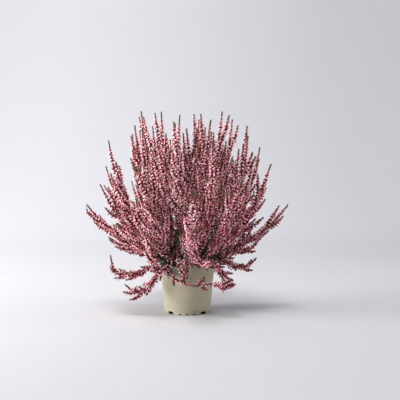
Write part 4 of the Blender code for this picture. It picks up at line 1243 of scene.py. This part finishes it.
def flower_buds(line, radii, spike_tone, tip_length, draw, is_sprig=False):
    """All that grows along one flowering line, as groups with a finish for each: crossed pairs of sprays of
    buds, closer towards the tip, with their stalks and bracts, the stem with its leaves, and a leafy tip."""
    length = along(line)[-1]
    whorls = np.arange(0, length / (0.7 * SPRAY_PITCH))
    closer = CROWDED * CROWDED_OVER * (1 - np.exp(-whorls / CROWDED_OVER))
    from_tip = tip_length * 0.5 + SPRAY_PITCH * (whorls - closer)
    from_tip = from_tip[from_tip < length]
    count = len(from_tip)
    turns = np.arange(count) * (math.pi / 2 + TWIST) + draw.uniform(-0.22, 0.22, count)
    from_tip = np.tile(from_tip, 2) + draw.uniform(-0.4, 0.4, 2 * count) * MM
    turns = np.concatenate([turns, turns + math.pi]) + draw.uniform(-0.15, 0.15, 2 * count)
    radius = np.interp(from_tip / length, SPIKE_SHARES, radii)
    core, up, out = around(line, length - from_tip, turns)
    up = unit(up)
    lean = np.radians(np.interp(radius, *SPRAY_LEAN) + draw.uniform(-9, 9, 2 * count))
    direction = unit(leaning(up, out, lean))
    reach = radius / np.sin(lean) * draw.uniform(0.85, 1.12, 2 * count)
    ripe = np.clip((from_tip - tip_length * 0.55) / RIPE_OVER, 0, 1)
    # Painted shade: buds lower on the plant are darker.
    low_painted_shade = PAINTED_SHADE_LOW * np.clip((PALEST_FROM - core[:, 2]) / DEEPEST_BELOW, 0, 1)
    tone = spike_tone + draw.normal(0, 0.16, 2 * count) - low_painted_shade
    spray = np.maximum(reach - 0.85 * BUD_LENGTH, 0)
    on_stem = spray < ON_STEM
    spray = np.where(on_stem, 0.5 * MM, spray)
    bud_length = np.where(on_stem, np.clip(reach, 1.7 * MM, 1.05 * BUD_LENGTH), BUD_LENGTH)
    outer = np.zeros(2 * count, bool)
    buds = [(core + direction * spray[:, None], direction, bud_length, tone, ripe, outer)]
    u = unit(np.cross(direction, up + 0.01))
    w = np.cross(direction, u)
    for step in range(1, 4):
        back = spray - step * BUD_SPACING
        on = np.nonzero((back > BUD_ROOM[step - 1]) & ~on_stem)[0]
        for half in (0, math.pi):
            turn = step * math.pi / 2 + half + draw.uniform(-0.4, 0.4, len(on))
            sideways = leaning(u[on], w[on], turn)
            spots = core[on] + direction[on] * (back[on] + draw.uniform(-0.3, 0.3, len(on)) * MM)[:, None]
            towards = unit(direction[on] * BUD_OUTWARDS[0] + sideways * BUD_OUTWARDS[1])
            size = bud_length[on] * draw.uniform(0.8, 1.05, len(on))
            # Painted shade on the inner buds.
            shade = tone[on] + draw.normal(0, 0.14, len(on)) - INNER_PAINTED_SHADE[step - 1]
            buds.append((spots, towards, size, shade, ripe[on], np.full(len(on), step > 1)))
    spots, towards, size, shade, ripeness, inner = map(np.concatenate, zip(*buds))
    total = len(spots)
    size = size * (0.55 + 0.45 * ripeness) * draw.uniform(0.85, 1.1, total)
    shade = RIPE_TONE + (1 - RIPE_TONE) * np.clip(shade + draw.normal(0, 0.1, total), 0, 1)
    shade = shade * np.clip(ripeness * 1.5 - draw.uniform(0, 0.3, total), 0, 1)
    if spike_tone < 0:
        shade = draw.uniform(0, RIPE_TONE - 0.01, total)
    wide = BUD_HALF_WIDTH * size / BUD_LENGTH * draw.uniform(0.88, 1.1, total)
    rings = max(6, round(length / CORE_RING_PITCH))
    girth = np.interp(np.linspace(1, 0, rings), SPIKE_SHARES, radii) * SHADE_CORE_SHARE + 0.35 * MM
    # Dark core: the stem, thickened to stand in for the shade inside the spike.
    groups = [(tube(resampled(line, rings), girth, 4 if is_sprig else 6, draw, 0.3), 2)]
    for shape, those in ((bud_shape, ~inner), (plain_bud_shape, inner)):
        chosen = [values[those] for values in (spots, towards, size, wide, shade)]
        groups.append((set_out(shape, *chosen), 0))
    if not is_sprig:
        groups.append((leaves_along(line[:-2], 2.6 * MM, 0.35, draw), 2))
    sprays = np.nonzero(~on_stem)[0]
    if len(sprays):
        stalks = fine_twigs(core[sprays], direction[sprays], spray[sprays] + MM, STALK_RADIUS, draw)
        groups.append((stalks, 2))
        sprays = sprays[::3]
        leaf_roots = core[sprays] + direction[sprays] * 0.6 * MM
        leaf_to = unit(direction[sprays] + 0.5 * up[sprays] * draw.uniform(-1, 1, (len(sprays), 1)))
        size = LEAF_LENGTH * draw.uniform(0.9, 1.5, len(sprays))
        tones = draw.uniform(0.5, 1.0, len(sprays))
        groups.append((set_out(leaf_shape, leaf_roots, leaf_to, size, size * 0.2, tones), 1))
    tip_tone = TIP_TONE + draw.uniform(-0.2, 0.3)
    groups.append((leafy_tip(line, tip_length, 1.2 * MM, tip_tone, draw, *TIP_LEAVES), 1))
    return groups


def clear_of_pot(places):
    """Which places lie outside the pot's wall, or above its rim."""
    distance, height = np.hypot(places[:, 0], places[:, 1]), places[:, 2]
    outer = np.interp(height, (0, POT_HEIGHT), (BASE_RADIUS, RIM_RADIUS)) + 1.5 * MM
    return (distance > outer) | (height > POT_HEIGHT + 1.5 * MM)


def before_pot(places):
    """Which places hide the pot from the front."""
    x, y, z = places.T
    return (y < -POT_FRONT[0]) & (abs(x) < POT_FRONT[1]) & (z < POT_FRONT[2])


def sprigs(line, count, shares, lengths, angles, others, draw, in_front):
    """Short budded side sprigs of a shoot. Each keeps off the pot and grows where the other lines leave the
    most room."""
    found = []
    frames = frames_along(line)
    first = draw.uniform(0, math.tau)
    for k in range(count):
        share = shares[0] + (shares[1] - shares[0]) * (k + draw.uniform(0.1, 0.9)) / count
        i = round(share * (len(line) - 1))
        length = draw.uniform(*lengths)
        angle = math.radians(draw.uniform(*angles))
        tries = []
        for attempt in range(7):
            turn = first + (k + attempt * 0.37) * GOLDEN_ANGLE
            run = forked(line, frames, i, turn, angle, length, 0.4)
            if not clear_of_pot(run[6:]).all() or run[:, 2].min() < LOWEST or run[-1, 2] > TALLEST:
                continue
            if not in_front and before_pot(run[3:]).any():
                continue
            away = np.linalg.norm(run[8::4][:, None] - np.concatenate(others + found)[None], axis=2).min()
            tries.append((min(round(float(away), 4), SPRIG_ROOM), -attempt, run))
        if tries:
            found.append(max(tries, key=lambda t: t[:2])[2])
    return found


bud_shape = pointed(4, [(0.3, 1, 0), (0.68, 0.84, 0.5)])
plain_bud_shape = pointed(4, [(0.45, 1, 0)])

flower_bud, tree, shader = new_finish("pink_bud", PALE_BUD[1], 0.42, 0.2)
unripe, deep, pale = [ramped(tree, "along", BUD_BANDS, bud) for bud in (UNRIPE_BUD, DEEP_BUD, PALE_BUD)]
ripened = blended(tree, rising(tree, "tone", 0.12, 1), deep, pale)
coloured = blended(tree, rising(tree, "tone", 0, RIPE_TONE), unripe, ripened)
tree.links.new(coloured, shader.inputs["Base Color"])

young_stem, tree, shader = new_finish("young_stem", (0.16, 0.05, 0.04), 0.6, 0.15)
reds, tans = [ramped(tree, "tone", (0, 1), shades) for shades in (STEM_REDS, STEM_TANS)]
tree.links.new(blended(tree, rising(tree, "along", 0.5, 1), reds, tans), shader.inputs["Base Color"])

number = 0
taken = [[line[4::3]] + [run[::3] for run, _ in side] for line, side in zip(lines, sides)]
for (habit, _, _), line, side in zip(shoots, lines, sides):
    if habit == "leafy":
        continue
    number += 1
    draw, growth = np.random.default_rng(300 + number), np.random.default_rng(500 + number)
    others = [run for k, runs in enumerate(taken) if k != number - 1 for run in runs]
    share, radii = profile_of(habit)
    # Painted light: the listed low shoots are painted paler, as light on them where they sit in shade.
    spike_tone = RIPENESS + draw.uniform(-0.13, 0.13) + PAINTED_LIGHT_ADDS * (number in PAINTED_LIGHT_SHOOTS)
    flowering = end_part(line, share)
    radii = [r * (THICK_FULLNESS if number == THICK else FULLNESS[habit]) for r in radii]
    radii = THIN_RADII.get(number, radii)
    groups = flower_buds(flowering, radii, spike_tone, draw.uniform(*TIP_LENGTH), draw)
    for run, run_radii in side:
        run_radii = [r * FULLNESS[habit] for r in run_radii]
        groups += flower_buds(run, run_radii, spike_tone, draw.uniform(*TIP_LENGTH) * SIDE_TIP, draw)
    if number in THIN_RADII:
        sets = [(flowering, row) for row in SPRIGS[number]]
    else:
        sets = list(zip((flowering, flowering, bare_part(line, share)), SPRIGS[habit]))
    if number in BARE_BELOW:
        sets = sets[:2]
    for part, (count, shares, lengths, angles) in sets:
        found = sprigs(part, count, shares, in_mm(*lengths), angles, others, growth, number == CROSSING)
        taken[number - 1] += [run[::4] for run in found]
        others = others + [run[::4] for run in found]
        for run in found:
            sprig_tone = spike_tone + draw.uniform(-0.12, 0.12)
            if draw.uniform() < UNRIPE_SPRIGS:
                sprig_tone = UNRIPE_TONE
            groups += flower_buds(run, SPRIG_RADII, sprig_tone, draw.uniform(4, 8) * MM, draw, True)
    for share, *offsets in SPRIGS_BY_HAND.get(number, ()):
        start = flowering[round(share * (SAMPLES - 1))]
        route = [start + np.array(offset) * MM for offset in ((0, 0, 0), *offsets)]
        run = resampled(through(route), SAMPLES // 2)
        radii = [r * BY_HAND_GIRTH for r in SPRIG_RADII]
        # Painted light: listed sprigs get a paler tone.
        groups += flower_buds(run, radii, spike_tone + LISTED_SPRIG_PAINTED_LIGHT, BY_HAND_TIP, draw, True)
    spike = grown(f"spike_{number:02d}", groups, (flower_bud, scale_leaf, young_stem))
    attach(spike, "root")
    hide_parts(f"flower_spike_{number:02d}")
